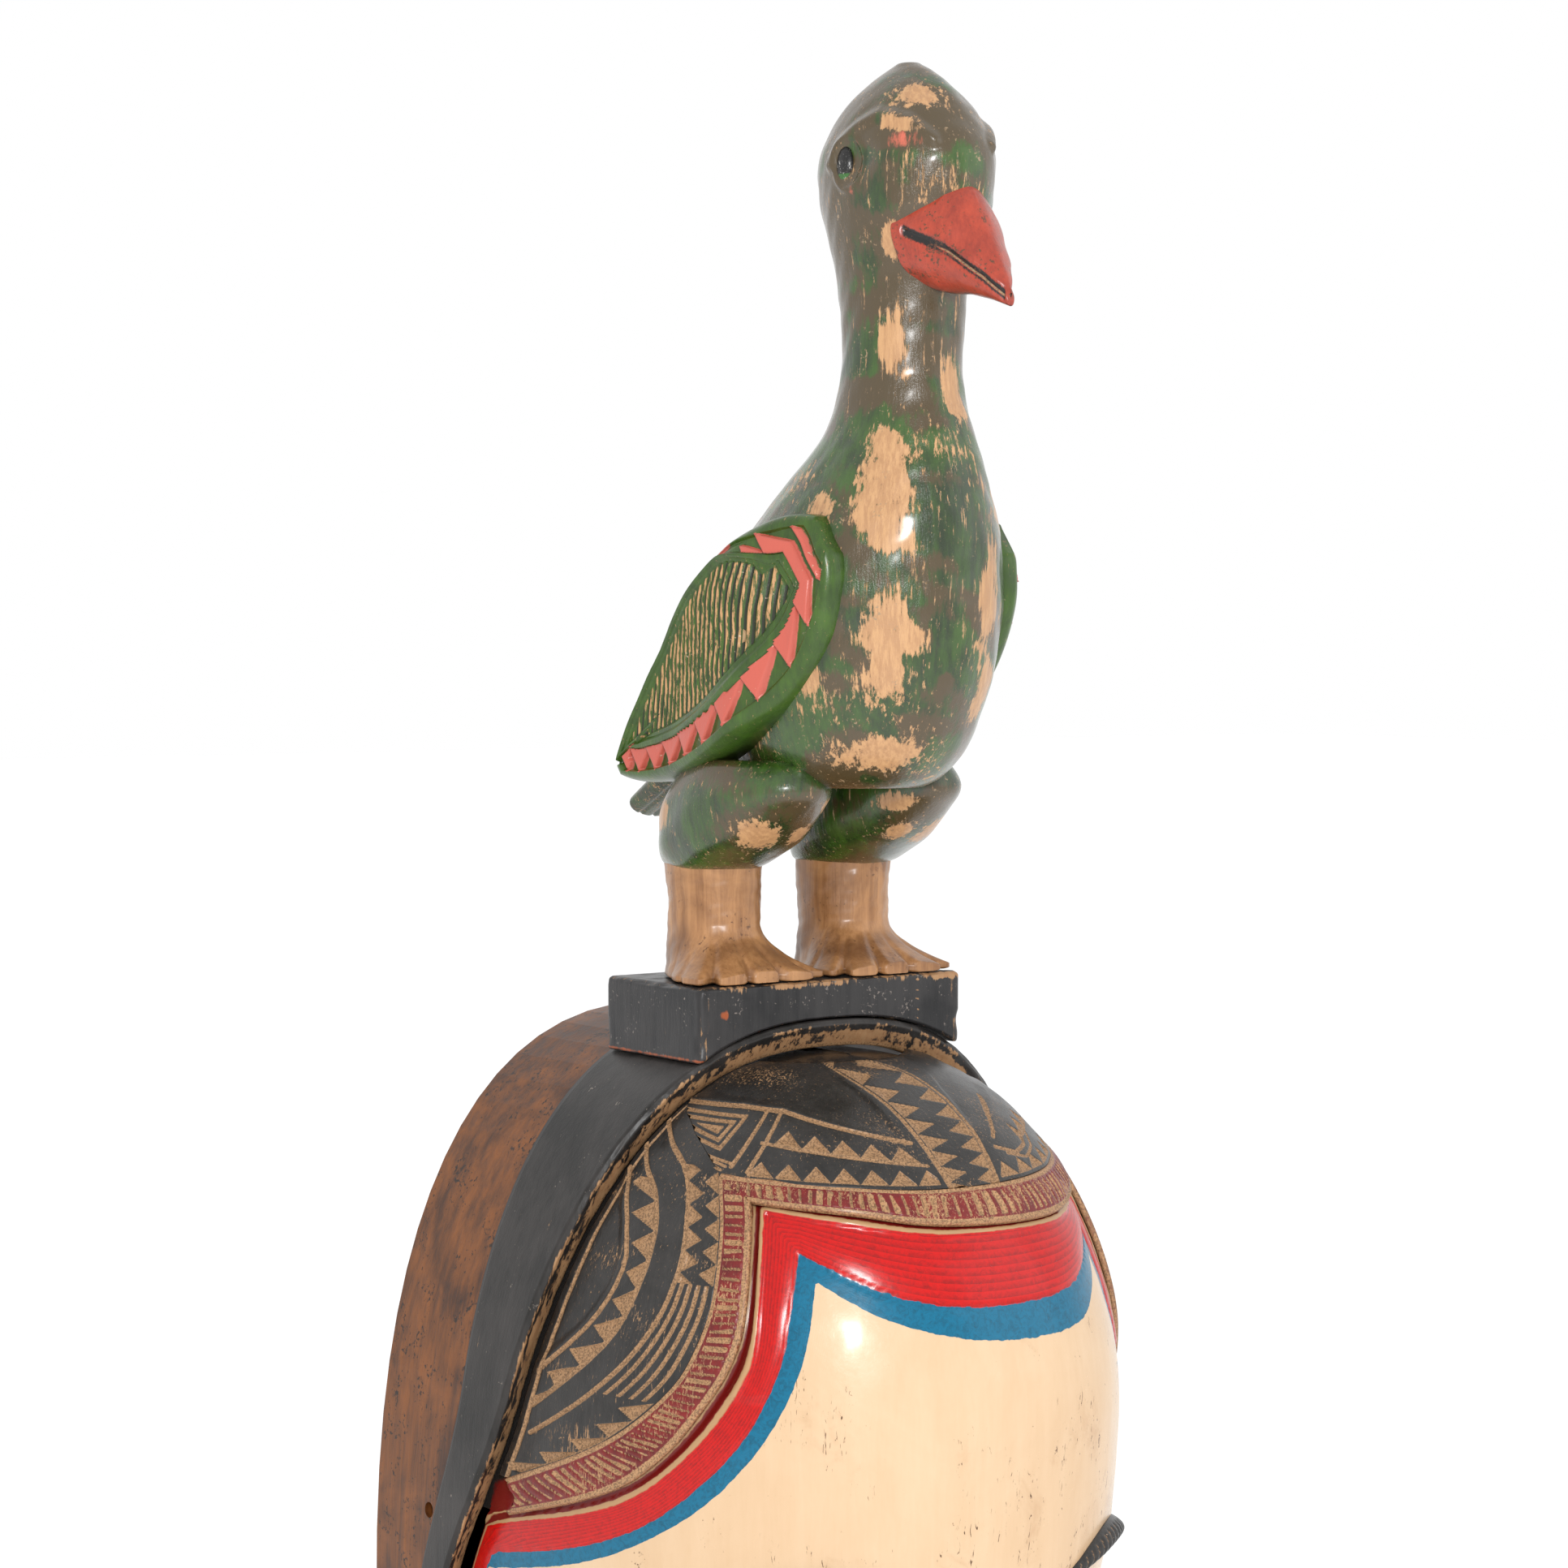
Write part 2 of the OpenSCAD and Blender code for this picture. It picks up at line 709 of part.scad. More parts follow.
module wing_side() {
    rows = 12;
    cols = 26;
    grid = function (lift)
        [for (i = [0 : rows]) [for (j = [0 : cols])
            let (s = wing_tip + (1 - 2 * wing_tip) * j / cols, v = 1 - 2 * i / rows,
                 w = (v > 0 ? wing_upper(s) : wing_lower(s)) * v,
                 d = s * wing_len,
                 y = wing_shoulder[0] - d * cos(wing_fall) - w * sin(wing_fall),
                 z = wing_shoulder[1] - d * sin(wing_fall) + w * cos(wing_fall),
                 edge = pow(max(0, 1 - v * v * v * v), 0.5))
            [-wing_bed(y, z) - (lift ? wing_edge_t + (wing_t - wing_edge_t) * edge : 0), -y, z]]];
    slab(grid(true), grid(false));
}

module wing_left() {
    color("#3f6b2a")
        difference() {
            wing_side();
            wing_pins(fit_gap);
        }
}

module wing_right() {
    color("#3f6b2a") mirror([1, 0, 0])
        difference() {
            wing_side();
            wing_pins(fit_gap);
        }
}

// Tail: distance from the wall, height above the thighs, half-width, half-thickness.
tail_seat = 66;
tail_rise = 0.1205 * body_h;
tail_rows = [[tail_seat, tail_rise, 11, 7], [44, 16, 12, 7], [22, 2, 12.5, 6], [2, -9, tail_w / 2, 5]];

module tail() {
    color("#4c5f2a")
        difference() {
            loft([for (r = smooth(tail_rows)) [for (j = [0 : ring_pts - 1])
                let (a = 360 * j / ring_pts)
                [r[2] * cos(a), -r[0], thigh_top + r[1] + r[3] * sin(a)]]]);
            tail_pin(fit_gap);
        }
}

back_rim();
border();
face_shell();
hair_center();
hair_left();
hair_right();
hatched_band();
brow_left();
brow_right();
eyelid_left();
eyelid_right();
nose();
lips();
crest_block();
crest_dowels();
bird_body();
beak();
beak_peg();
bird_eye_left();
bird_eye_right();
wing_left();
wing_right();
wing_pegs();
tail();
tail_peg();
thigh_left();
thigh_right();
thigh_pegs();
leg_left();
leg_right();
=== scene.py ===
import logging
import math
from dataclasses import dataclass, field
from enum import Enum
from typing import Callable

import bmesh
import bpy
import numpy as np
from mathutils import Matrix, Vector


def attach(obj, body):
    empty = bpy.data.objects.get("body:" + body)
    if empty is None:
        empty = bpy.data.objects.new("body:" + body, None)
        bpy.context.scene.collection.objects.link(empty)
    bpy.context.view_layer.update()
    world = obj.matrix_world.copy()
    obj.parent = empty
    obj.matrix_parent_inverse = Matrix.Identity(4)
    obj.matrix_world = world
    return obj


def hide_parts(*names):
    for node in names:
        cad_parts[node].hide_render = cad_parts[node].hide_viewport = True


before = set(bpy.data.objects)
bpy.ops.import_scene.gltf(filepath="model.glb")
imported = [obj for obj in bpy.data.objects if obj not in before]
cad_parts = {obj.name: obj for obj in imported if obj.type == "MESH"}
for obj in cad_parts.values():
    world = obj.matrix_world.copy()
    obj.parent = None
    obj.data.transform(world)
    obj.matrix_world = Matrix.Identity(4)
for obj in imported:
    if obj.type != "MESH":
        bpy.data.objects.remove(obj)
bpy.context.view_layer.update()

LOG = logging.getLogger("wall_mask")
MM = 0.001
BODY = "root"
PEGS = ("crest_dowels", "beak_peg", "wing_pegs", "tail_peg", "thigh_pegs")
Array = np.ndarray
Colour = tuple[float, float, float]
Table = tuple[tuple[float, float], ...]
Corners = Table
Rows = tuple[tuple[float, ...], ...]


class Side(Enum):
    """The two sides of the object, seen from the front."""

    LEFT = -1
    RIGHT = 1

    @property
    def word(self) -> str:
        """The side as the nodes' names spell it."""
        return self.name.lower()


# ---- Curves and fields ----


def ease(t: Array) -> Array:
    """Smooth step from 0 to 1 as t goes from 0 to 1."""
    c = np.clip(t, 0, 1)
    return c * c * (3 - 2 * c)


def bell(d: Array, half: float) -> Array:
    """Rounded hump: 1 where d is 0, and 0 from half onward."""
    return ease(1 - np.abs(d) / half)


def vee(d: Array, half: float) -> Array:
    """Knife cut: 1 where d is 0, falling straight to 0 at half."""
    return np.clip(1 - np.abs(d) / half, 0, 1)


def spow(v: Array, p: float) -> Array:
    """A number raised to a power with its sign kept."""
    return np.sign(v) * np.abs(v) ** p


def lookup(t: Array, table: Table) -> Array:
    """Straight interpolation in rows of (place, value), in either order of place."""
    rows = sorted(table)
    return np.interp(t, [r[0] for r in rows], [r[1] for r in rows])


def smooth_rows(rows: list[tuple[float, ...]], steps: int = 6) -> Array:
    """Rows with smooth steps between the given ones.

    Args:
        rows: The rows that the curve passes through.
        steps: How many rows each given step becomes.

    Returns:
        The denser rows as an array.
    """
    r = np.array(rows, float)
    last = len(r) - 1
    out = []
    for i in range(last):
        a, b, c, d = r[max(i - 1, 0)], r[i], r[i + 1], r[min(i + 2, last)]
        for t in np.arange(steps) / steps:
            out.append(0.5 * (2 * b + (c - a) * t + (2 * a - 5 * b + 4 * c - d) * t**2
                              + (3 * b - a - 3 * c + d) * t**3))
    return np.array(out + [r[last]])


def along_rows(share: Array, rows: Array) -> list[Array]:
    """Each column of the rows at a share from the first row to the last."""
    place = share * (len(rows) - 1)
    return [np.interp(place, np.arange(len(rows)), column) for column in rows.T]


def smooth_lookup(t: Array, table: Table) -> Array:
    """Smooth interpolation in rows of (place, value)."""
    rows = smooth_rows(sorted(table))
    return np.interp(t, rows[:, 0], rows[:, 1])


def wobble(p: Array, size: float, seed: float = 0.0) -> Array:
    """Uneven field between about -1 and 1, as a hand-held tool leaves.

    Args:
        p: Points, in millimetres.
        size: Width of the swells.
        seed: Shifts the pattern.

    Returns:
        The field's value at each point.
    """
    total = np.zeros(len(p))
    for k in range(6):
        turn, rise = 2.4 * k + seed, 1.1 * k + 0.7 * seed
        way = np.array([math.cos(turn) * math.cos(rise), math.sin(turn) * math.cos(rise),
                        math.sin(rise)])
        total += np.sin(p @ way * (2 * math.pi / size) * (0.7 + 0.16 * k) + 5.1 * k + seed)
    return total / 3


def line_reach(p: Array, q: Array, points: Corners) -> Array:
    """Distance from (p, q) to a broken line through the points."""
    best = np.full(len(p), 1e9)
    for (ax, ay), (bx, by) in zip(points, points[1:]):
        dx, dy = bx - ax, by - ay
        t = np.clip(((p - ax) * dx + (q - ay) * dy) / (dx * dx + dy * dy), 0, 1)
        best = np.minimum(best, np.hypot(p - ax - t * dx, q - ay - t * dy))
    return best


def inside_reach(p: Array, q: Array, corners: Corners) -> Array:
    """Distance inward from the edges of a convex outline, below 0 outside it."""
    area = sum(a[0] * b[1] - b[0] * a[1] for a, b in zip(corners, corners[1:] + corners[:1]))
    best = np.full(len(p), 1e9)
    for (ax, ay), (bx, by) in zip(corners, corners[1:] + corners[:1]):
        dx, dy = bx - ax, by - ay
        reach = (dx * (q - ay) - dy * (p - ax)) / math.hypot(dx, dy)
        best = np.minimum(best, reach * math.copysign(1, area))
    return best


def teeth(s: Array, w: Array) -> Array:
    """Row of carved triangles, as shares of one tooth.

    Args:
        s: Place along the row, one tooth per unit.
        w: Place across the row, 0 at the base and 1 at the tips.

    Returns:
        How far inside a tooth each point lies, 0 or less outside.
    """
    slope = 1 - np.abs(2 * (s - np.floor(s)) - 1)
    return np.minimum(w, 0.92 * slope - w)


# ---- Mesh making ----


@dataclass
class Surface:
    """Points of a surface in millimetres, with the values that its finish reads."""

    points: Array
    marks: dict[str, Array] = field(default_factory=dict)


def place_points(bm: bmesh.types.BMesh, first: int, surface: Surface) -> None:
    """Moves the vertices from the first one on to a surface, and writes its marks on them."""
    for name in surface.marks:
        if name not in bm.verts.layers.float:
            bm.verts.layers.float.new(name)
    verts = list(bm.verts)[first:]
    for vert, point in zip(verts, surface.points * MM):
        vert.co = point
    for name, values in surface.marks.items():
        layer = bm.verts.layers.float[name]
        for vert, value in zip(verts, values):
            vert[layer] = float(value)


def handed(surface: Surface, flip: bool) -> Surface:
    """The surface itself, or its mirror image on the other side of the middle plane."""
    side = np.array([-1 if flip else 1, 1, 1])
    return Surface(surface.points * side, surface.marks)


def grid(cols: int, rows: int, place: Callable[[Array, Array], Surface],
         bm: bmesh.types.BMesh | None = None, flip: bool = False) -> bmesh.types.BMesh:
    """Sheet of quads laid on a surface.

    Args:
        cols: Faces across.
        rows: Faces up.
        place: Gives the surface at shares across and up, left and bottom first.
        bm: Mesh to add to, or none for a new one.
        flip: Whether the sheet is mirrored.

    Returns:
        The mesh with the sheet in it.
    """
    bm = bm or bmesh.new()
    first, first_face = len(bm.verts), len(bm.faces)
    bmesh.ops.create_grid(bm, x_segments=cols, y_segments=rows, size=0.5)
    share = np.array([v.co[:2] for v in list(bm.verts)[first:]]) + 0.5
    place_points(bm, first, handed(place(share[:, 0], share[:, 1]), flip))
    if flip:
        bmesh.ops.reverse_faces(bm, faces=list(bm.faces)[first_face:])
    return bm


def ball(cols: int, rows: int, place: Callable[[Array, Array], Surface],
         flip: bool = False) -> bmesh.types.BMesh:
    """Closed shape grown from a sphere.

    Args:
        cols: Faces around.
        rows: Faces from pole to pole.
        place: Gives the surface at an angle in radians and a share from bottom to top.
        flip: Whether the shape is mirrored.

    Returns:
        The mesh of the shape.
    """
    bm = bmesh.new()
    bmesh.ops.create_uvsphere(bm, u_segments=cols, v_segments=rows, radius=1)
    co = np.array([v.co[:] for v in bm.verts])
    angle = np.arctan2(co[:, 1], co[:, 0])
    share = 0.5 + np.arcsin(np.clip(co[:, 2], -1, 1)) / math.pi
    place_points(bm, 0, handed(place(angle, share), flip))
    return bm


def finish_mesh(name: str, bm: bmesh.types.BMesh, material: bpy.types.Material,
                node: str, wall: float = 0.0) -> None:
    """Makes a piece of a mesh and puts it in the frame.

    Args:
        name: The piece's name.
        bm: Its mesh, freed here.
        material: Its finish.
        node: CAD node that it stands for.
        wall: Thickness given to an open sheet in millimetres, or 0 for a closed shape.
    """
    bmesh.ops.remove_doubles(bm, verts=bm.verts, dist=1e-6)
    if not wall:
        bmesh.ops.recalc_face_normals(bm, faces=bm.faces)
    mesh = bpy.data.meshes.new(name)
    bm.to_mesh(mesh)
    bm.free()
    mesh.polygons.foreach_set("use_smooth", [True] * len(mesh.polygons))
    mesh.materials.append(material)
    piece = bpy.data.objects.new(name, mesh)
    bpy.context.scene.collection.objects.link(piece)
    if wall:
        solid = piece.modifiers.new("wall", "SOLIDIFY")
        solid.thickness = wall * MM
        solid.offset = -1
    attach(piece, BODY)
    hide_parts(node)
    LOG.info("%s: %d faces", name, len(mesh.polygons))


def finish_pair(name: str, node: str, make: Callable[[bool], bmesh.types.BMesh],
                material: bpy.types.Material, wall: float = 0.0) -> None:
    """Makes a piece on the left and its mirror image on the right.

    Args:
        name: Start of the pieces' names.
        node: Start of the names of the CAD nodes that they stand for.
        make: Gives the mesh, mirrored or not.
        material: Their finish.
        wall: Thickness given to open sheets in millimetres, or 0 for closed shapes.
    """
    for side in Side:
        finish_mesh(f"{name}_{side.word}", make(side is Side.RIGHT), material,
                    f"{node}_{side.word}", wall)


# ---- Node trees ----

Socket = bpy.types.NodeSocket
SCORCHED: Colour = (0.3, 0.14, 0.06)


@dataclass
class Book:
    """Short ways to add nodes to one tree."""

    tree: bpy.types.NodeTree

    def put(self, socket: Socket, value: object) -> None:
        """Links a socket to another, or sets its value."""
        if isinstance(value, bpy.types.NodeSocket):
            self.tree.links.new(value, socket)
        elif isinstance(value, tuple) and len(value) == 3 and socket.type == "RGBA":
            socket.default_value = (*value, 1.0)
        else:
            socket.default_value = value

    def node(self, kind: str, values: dict[str | int, object] | None = None,
             **settings: object) -> bpy.types.Node:
        """Adds a node with its settings and its inputs' values."""
        made = self.tree.nodes.new(kind)
        for key, value in settings.items():
            setattr(made, key, value)
        for key, value in (values or {}).items():
            self.put(made.inputs[key], value)
        return made

    def math(self, operation: str, a: object, b: object = 0.0) -> Socket:
        """One step of arithmetic."""
        return self.node("ShaderNodeMath", {0: a, 1: b}, operation=operation).outputs[0]

    def blend(self, a: Socket, b: Socket, share: float) -> Socket:
        """Sum of a share of one value and the rest of another."""
        return self.math("ADD", self.math("MULTIPLY", a, share),
                         self.math("MULTIPLY", b, 1 - share))

    def sway(self, base: object, cloud: Socket, reach: object) -> Socket:
        """Value moved to both sides by noise."""
        swing = self.math("MULTIPLY", self.math("SUBTRACT", cloud, 0.5), reach)
        return self.math("ADD", base, swing)

    def span(self, value: object, low: float, high: float, start: float = 0.0,
             end: float = 1.0) -> Socket:
        """Smooth step of a value between low and high, from start to end."""
        made = self.node("ShaderNodeMapRange", {0: value, 1: low, 2: high, 3: start, 4: end},
                         interpolation_type="SMOOTHSTEP")
        return made.outputs[0]

    def mix(self, share: object, a: object, b: object) -> Socket:
        """Colour between a and b."""
        made = self.node("ShaderNodeMix", data_type="RGBA")
        for index, value in ((0, share), (6, a), (7, b)):
            self.put(made.inputs[index], value)
        return made.outputs[2]

    def noise(self, vector: Socket, scale: object, detail: float = 4.0, rough: float = 0.6,
              warp: float = 0.0) -> Socket:
        """Cloudy noise between 0 and 1."""
        made = self.node("ShaderNodeTexNoise",
                         {"Vector": vector, "Scale": scale, "Detail": detail,
                          "Roughness": rough, "Distortion": warp})
        return made.outputs[0]

    def stretch(self, vector: Socket, scale: tuple[float, float, float],
                turn: tuple[float, float, float] = (0.0, 0.0, 0.0)) -> Socket:
        """Vector scaled along its axes, to draw a pattern out into strokes."""
        made = self.node("ShaderNodeMapping", {"Vector": vector})
        made.inputs["Rotation"].default_value = turn
        made.inputs["Scale"].default_value = scale
        return made.outputs[0]

    def mark(self, name: str) -> Socket:
        """A value that the mesh carries."""
        made = self.node("ShaderNodeAttribute", attribute_name=name)
        return made.outputs["Fac"]

    def group(self, tree: bpy.types.NodeTree, values: dict[str, object]) -> bpy.types.Node:
        """Adds a node group with its inputs' values."""
        made = self.node("ShaderNodeGroup", node_tree=tree)
        for key, value in values.items():
            self.put(made.inputs[key], value)
        return made


def new_group(name: str, colours: tuple[str, ...], floats: tuple[str, ...] = ()
              ) -> tuple[Book, dict[str, Socket]]:
    """Starts a shader node group that turns colours into one colour and a mask.

    Args:
        name: The group's name.
        colours: Names of its colours.
        floats: Names of its floats besides Size.

    Returns:
        The group's book and its inputs by name.
    """
    tree = bpy.data.node_groups.new(name, "ShaderNodeTree")
    kinds = {"Vector": "Vector", **{key: "Color" for key in colours},
             **{key: "Float" for key in ("Size", *floats)}}
    for key, kind in kinds.items():
        tree.interface.new_socket(name=key, in_out="INPUT", socket_type=f"NodeSocket{kind}")
    for key, kind in (("Color", "Color"), ("Mask", "Float")):
        tree.interface.new_socket(name=key, in_out="OUTPUT", socket_type=f"NodeSocket{kind}")
    book = Book(tree)
    return book, dict(book.node("NodeGroupInput").outputs.items())


def end_group(book: Book, colour: Socket, mask: Socket) -> bpy.types.NodeTree:
    """Joins a group's colour and mask to its outputs."""
    book.node("NodeGroupOutput", {"Color": colour, "Mask": mask})
    return book.tree


def brushed_group() -> bpy.types.NodeTree:
    """Two tones of one paint, laid on in brush strokes along Z."""
    book, given = new_group("brushed_paint", ("Paint", "Deep"), ("Contrast",))
    vector, size = given["Vector"], given["Size"]
    cloud = book.noise(vector, size, 5.0, 0.62, 0.6)
    strokes = book.noise(book.stretch(vector, (9.0, 9.0, 1.1), (0.12, 0.2, 0.0)), size, 4.0, 0.7)
    wide = book.sway(0.0, book.blend(cloud, strokes, 0.6), given["Contrast"])
    share = book.span(wide, -0.5, 0.5)
    return end_group(book, book.mix(share, given["Deep"], given["Paint"]), strokes)


def worn_group() -> bpy.types.NodeTree:
    """Paint rubbed through to what lies under it, in scratchy strokes."""
    book, given = new_group("worn_through", ("Paint", "Under"), ("Wear",))
    vector, size = given["Vector"], given["Size"]
    scratch = book.noise(book.stretch(vector, (9.0, 9.0, 0.8), (0.3, 0.22, 0.0)), size, 6.0, 0.72)
    speck = book.noise(vector, book.math("MULTIPLY", size, 4.0), 3.0, 0.7)
    worn = book.span(book.sway(given["Wear"], book.blend(scratch, speck, 0.82), 1.7), 0.36, 0.5)
    tone = book.mix(book.span(scratch, 0.42, 0.62), SCORCHED, given["Under"])
    under = book.mix(0.5, tone, given["Under"])
    return end_group(book, book.mix(worn, given["Paint"], under), worn)


def speck_group() -> bpy.types.NodeTree:
    """Small specks of dust or dirt scattered in loose clouds."""
    book, given = new_group("specks", ("Paint", "Dust"), ("Amount",))
    vector, size = given["Vector"], given["Size"]
    cloud = book.noise(vector, book.math("MULTIPLY", size, 0.12), 3.0, 0.6, 0.4)
    grain = book.noise(vector, size, 2.0, 0.6)
    raised = book.math("ADD", book.blend(cloud, grain, 0.45),
                       book.math("MULTIPLY", given["Amount"], 0.3))
    mask = book.span(raised, 0.68, 0.76)
    return end_group(book, book.mix(mask, given["Paint"], given["Dust"]), mask)


def grain_group() -> bpy.types.NodeTree:
    """Wood grain along Z, with blotches."""
    book, given = new_group("wood_grain", ("Light", "Dark"))
    vector, size = given["Vector"], given["Size"]
    lines = book.noise(book.stretch(vector, (12.0, 12.0, 0.7)), size, 6.0, 0.7, 0.3)
    blotch = book.noise(vector, book.math("MULTIPLY", size, 1.6), 4.0, 0.55, 0.8)
    share = book.span(book.blend(lines, blotch, 0.5), 0.34, 0.66)
    return end_group(book, book.mix(share, given["Dark"], given["Light"]), lines)


@dataclass(frozen=True)
class Effects:
    """The shared node groups."""

    brushed: bpy.types.NodeTree
    worn: bpy.types.NodeTree
    specks: bpy.types.NodeTree
    grain: bpy.types.NodeTree

    @staticmethod
    def build() -> "Effects":
        """Makes every group once."""
        return Effects(brushed_group(), worn_group(), speck_group(), grain_group())


@dataclass(frozen=True)
class Gloss:
    """How a finish shines: roughness from low to high, lacquer and relief."""

    low: float = 0.32
    high: float = 0.55
    coat: float = 0.3
    coat_rough: float = 0.2
    relief: float = 0.25
    specular: float = 0.35


def start_material(name: str) -> tuple[bpy.types.Material, Book, Socket]:
    """Starts a material and gives its book and its object coordinates."""
    material = bpy.data.materials.new(name)
    material.use_nodes = True
    material.node_tree.nodes.clear()
    book = Book(material.node_tree)
    return material, book, book.node("ShaderNodeTexCoord").outputs["Object"]


def end_material(book: Book, colour: Socket, rough: Socket, height: Socket, gloss: Gloss) -> None:
    """Joins colour, roughness and relief to the shader.

    Args:
        book: The material's book.
        colour: Its colour.
        rough: Share between the gloss's low and high roughness.
        height: Its relief, 0 to 1.
        gloss: How it shines.
    """
    bump = book.node("ShaderNodeBump", {"Strength": gloss.relief, "Distance": 0.0006,
                                        "Height": height})
    shader = book.node("ShaderNodeBsdfPrincipled",
                       {"Base Color": colour, "Normal": bump.outputs[0],
                        "Roughness": book.span(rough, 0.0, 1.0, gloss.low, gloss.high),
                        "Coat Weight": gloss.coat, "Coat Roughness": gloss.coat_rough,
                        "Specular IOR Level": gloss.specular})
    book.node("ShaderNodeOutputMaterial", {"Surface": shader.outputs[0]})


# ---- Finishes ----


@dataclass(frozen=True)
class PaintedWood:
    """Brushed paint on carved wood, worn through where the mesh's marks say so.

    The mark `cut` shows bare carved wood, `wear` adds rubbed places, `tint` blends in a second
    paint, also used as painted shade on the bird's head, beak and tail, and `coral` lays a third
    one, the blush, over both, which on the wing is painted shade in its grooves.
    """

    name: str
    paint: Colour
    deep: Colour
    under: Colour = (0.52, 0.33, 0.18)
    second: Colour = (0.2, 0.15, 0.08)
    blush: Colour = (0.55, 0.12, 0.07)
    wear: float = 0.1
    size: float = 60.0
    contrast: float = 2.6
    dust: Colour = (0.55, 0.42, 0.3)
    dust_amount: float = 0.1
    gloss: Gloss = Gloss()

    def build(self, effects: Effects) -> bpy.types.Material:
        """Makes the material.

        Args:
            effects: The shared node groups.

        Returns:
            The material.
        """
        material, book, place = start_material(self.name)
        brushed = book.group(effects.brushed, {
            "Vector": place, "Paint": self.paint, "Deep": self.deep, "Size": self.size,
            "Contrast": self.contrast})
        fray = book.noise(book.stretch(place, (5.0, 5.0, 1.4)), self.size * 3, 4.0, 0.7)
        # The marks `tint` and `coral` lay second and third paints, and in places painted shade.
        tint = book.span(book.sway(book.mark("tint"), fray, 0.9), 0.35, 0.65)
        flush = book.span(book.sway(book.mark("coral"), fray, 1.2), 0.4, 0.75)
        paint = book.mix(flush, book.mix(tint, brushed.outputs["Color"], self.second),
                         self.blush)
        level = book.math("ADD", book.mark("wear"), self.wear)
        worn = book.group(effects.worn, {"Vector": place, "Paint": paint, "Under": self.under,
                                         "Wear": level, "Size": self.size * 2.2})
        dusty = book.group(effects.specks, {
            "Vector": place, "Paint": worn.outputs["Color"], "Dust": self.dust,
            "Amount": self.dust_amount, "Size": 900.0})
        cut = book.span(book.sway(book.mark("cut"), fray, 0.5), 0.4, 0.6)
        scratch = book.noise(place, 1500.0, 3.0, 0.7)
        bare = book.mix(book.span(scratch, 0.42, 0.62), self.under,
                        tuple(0.42 * c for c in self.under))
        colour = book.mix(cut, dusty.outputs["Color"], bare)
        rough = book.math("MAXIMUM", book.math("MAXIMUM", worn.outputs["Mask"], cut),
                          book.math("MULTIPLY", brushed.outputs["Mask"], 0.5))
        height = book.math("SUBTRACT",
                           book.math("ADD", brushed.outputs["Mask"],
                                     book.math("MULTIPLY", scratch, 0.35)),
                           book.math("MULTIPLY", worn.outputs["Mask"], 0.5))
        end_material(book, colour, rough, height, self.gloss)
        return material


@dataclass(frozen=True)
class GrainedWood:
    """Bare or stained wood with its grain along Z."""

    name: str
    light: Colour
    dark: Colour
    size: float = 28.0
    dirt: Colour = (0.16, 0.09, 0.05)
    dirt_amount: float = 0.3
    gloss: Gloss = Gloss(0.4, 0.65, 0.15, 0.3, 0.3)

    def build(self, effects: Effects) -> bpy.types.Material:
        """Makes the material.

        Args:
            effects: The shared node groups.

        Returns:
            The material.
        """
        material, book, place = start_material(self.name)
        grain = book.group(effects.grain, {"Vector": place, "Light": self.light,
                                           "Dark": self.dark, "Size": self.size})
        dirty = book.group(effects.specks, {
            "Vector": place, "Paint": grain.outputs["Color"], "Dust": self.dirt,
            "Amount": self.dirt_amount, "Size": 700.0})
        # The mark `cut` darkens the wood towards its dirt colour: painted shade between the toes
        # and random grime on the legs.
        shade = book.span(book.mark("cut"), 0.2, 0.9)
        colour = book.mix(book.math("MULTIPLY", shade, 0.75), dirty.outputs["Color"], self.dirt)
        end_material(book, colour, grain.outputs["Mask"], grain.outputs["Mask"], self.gloss)
        return material


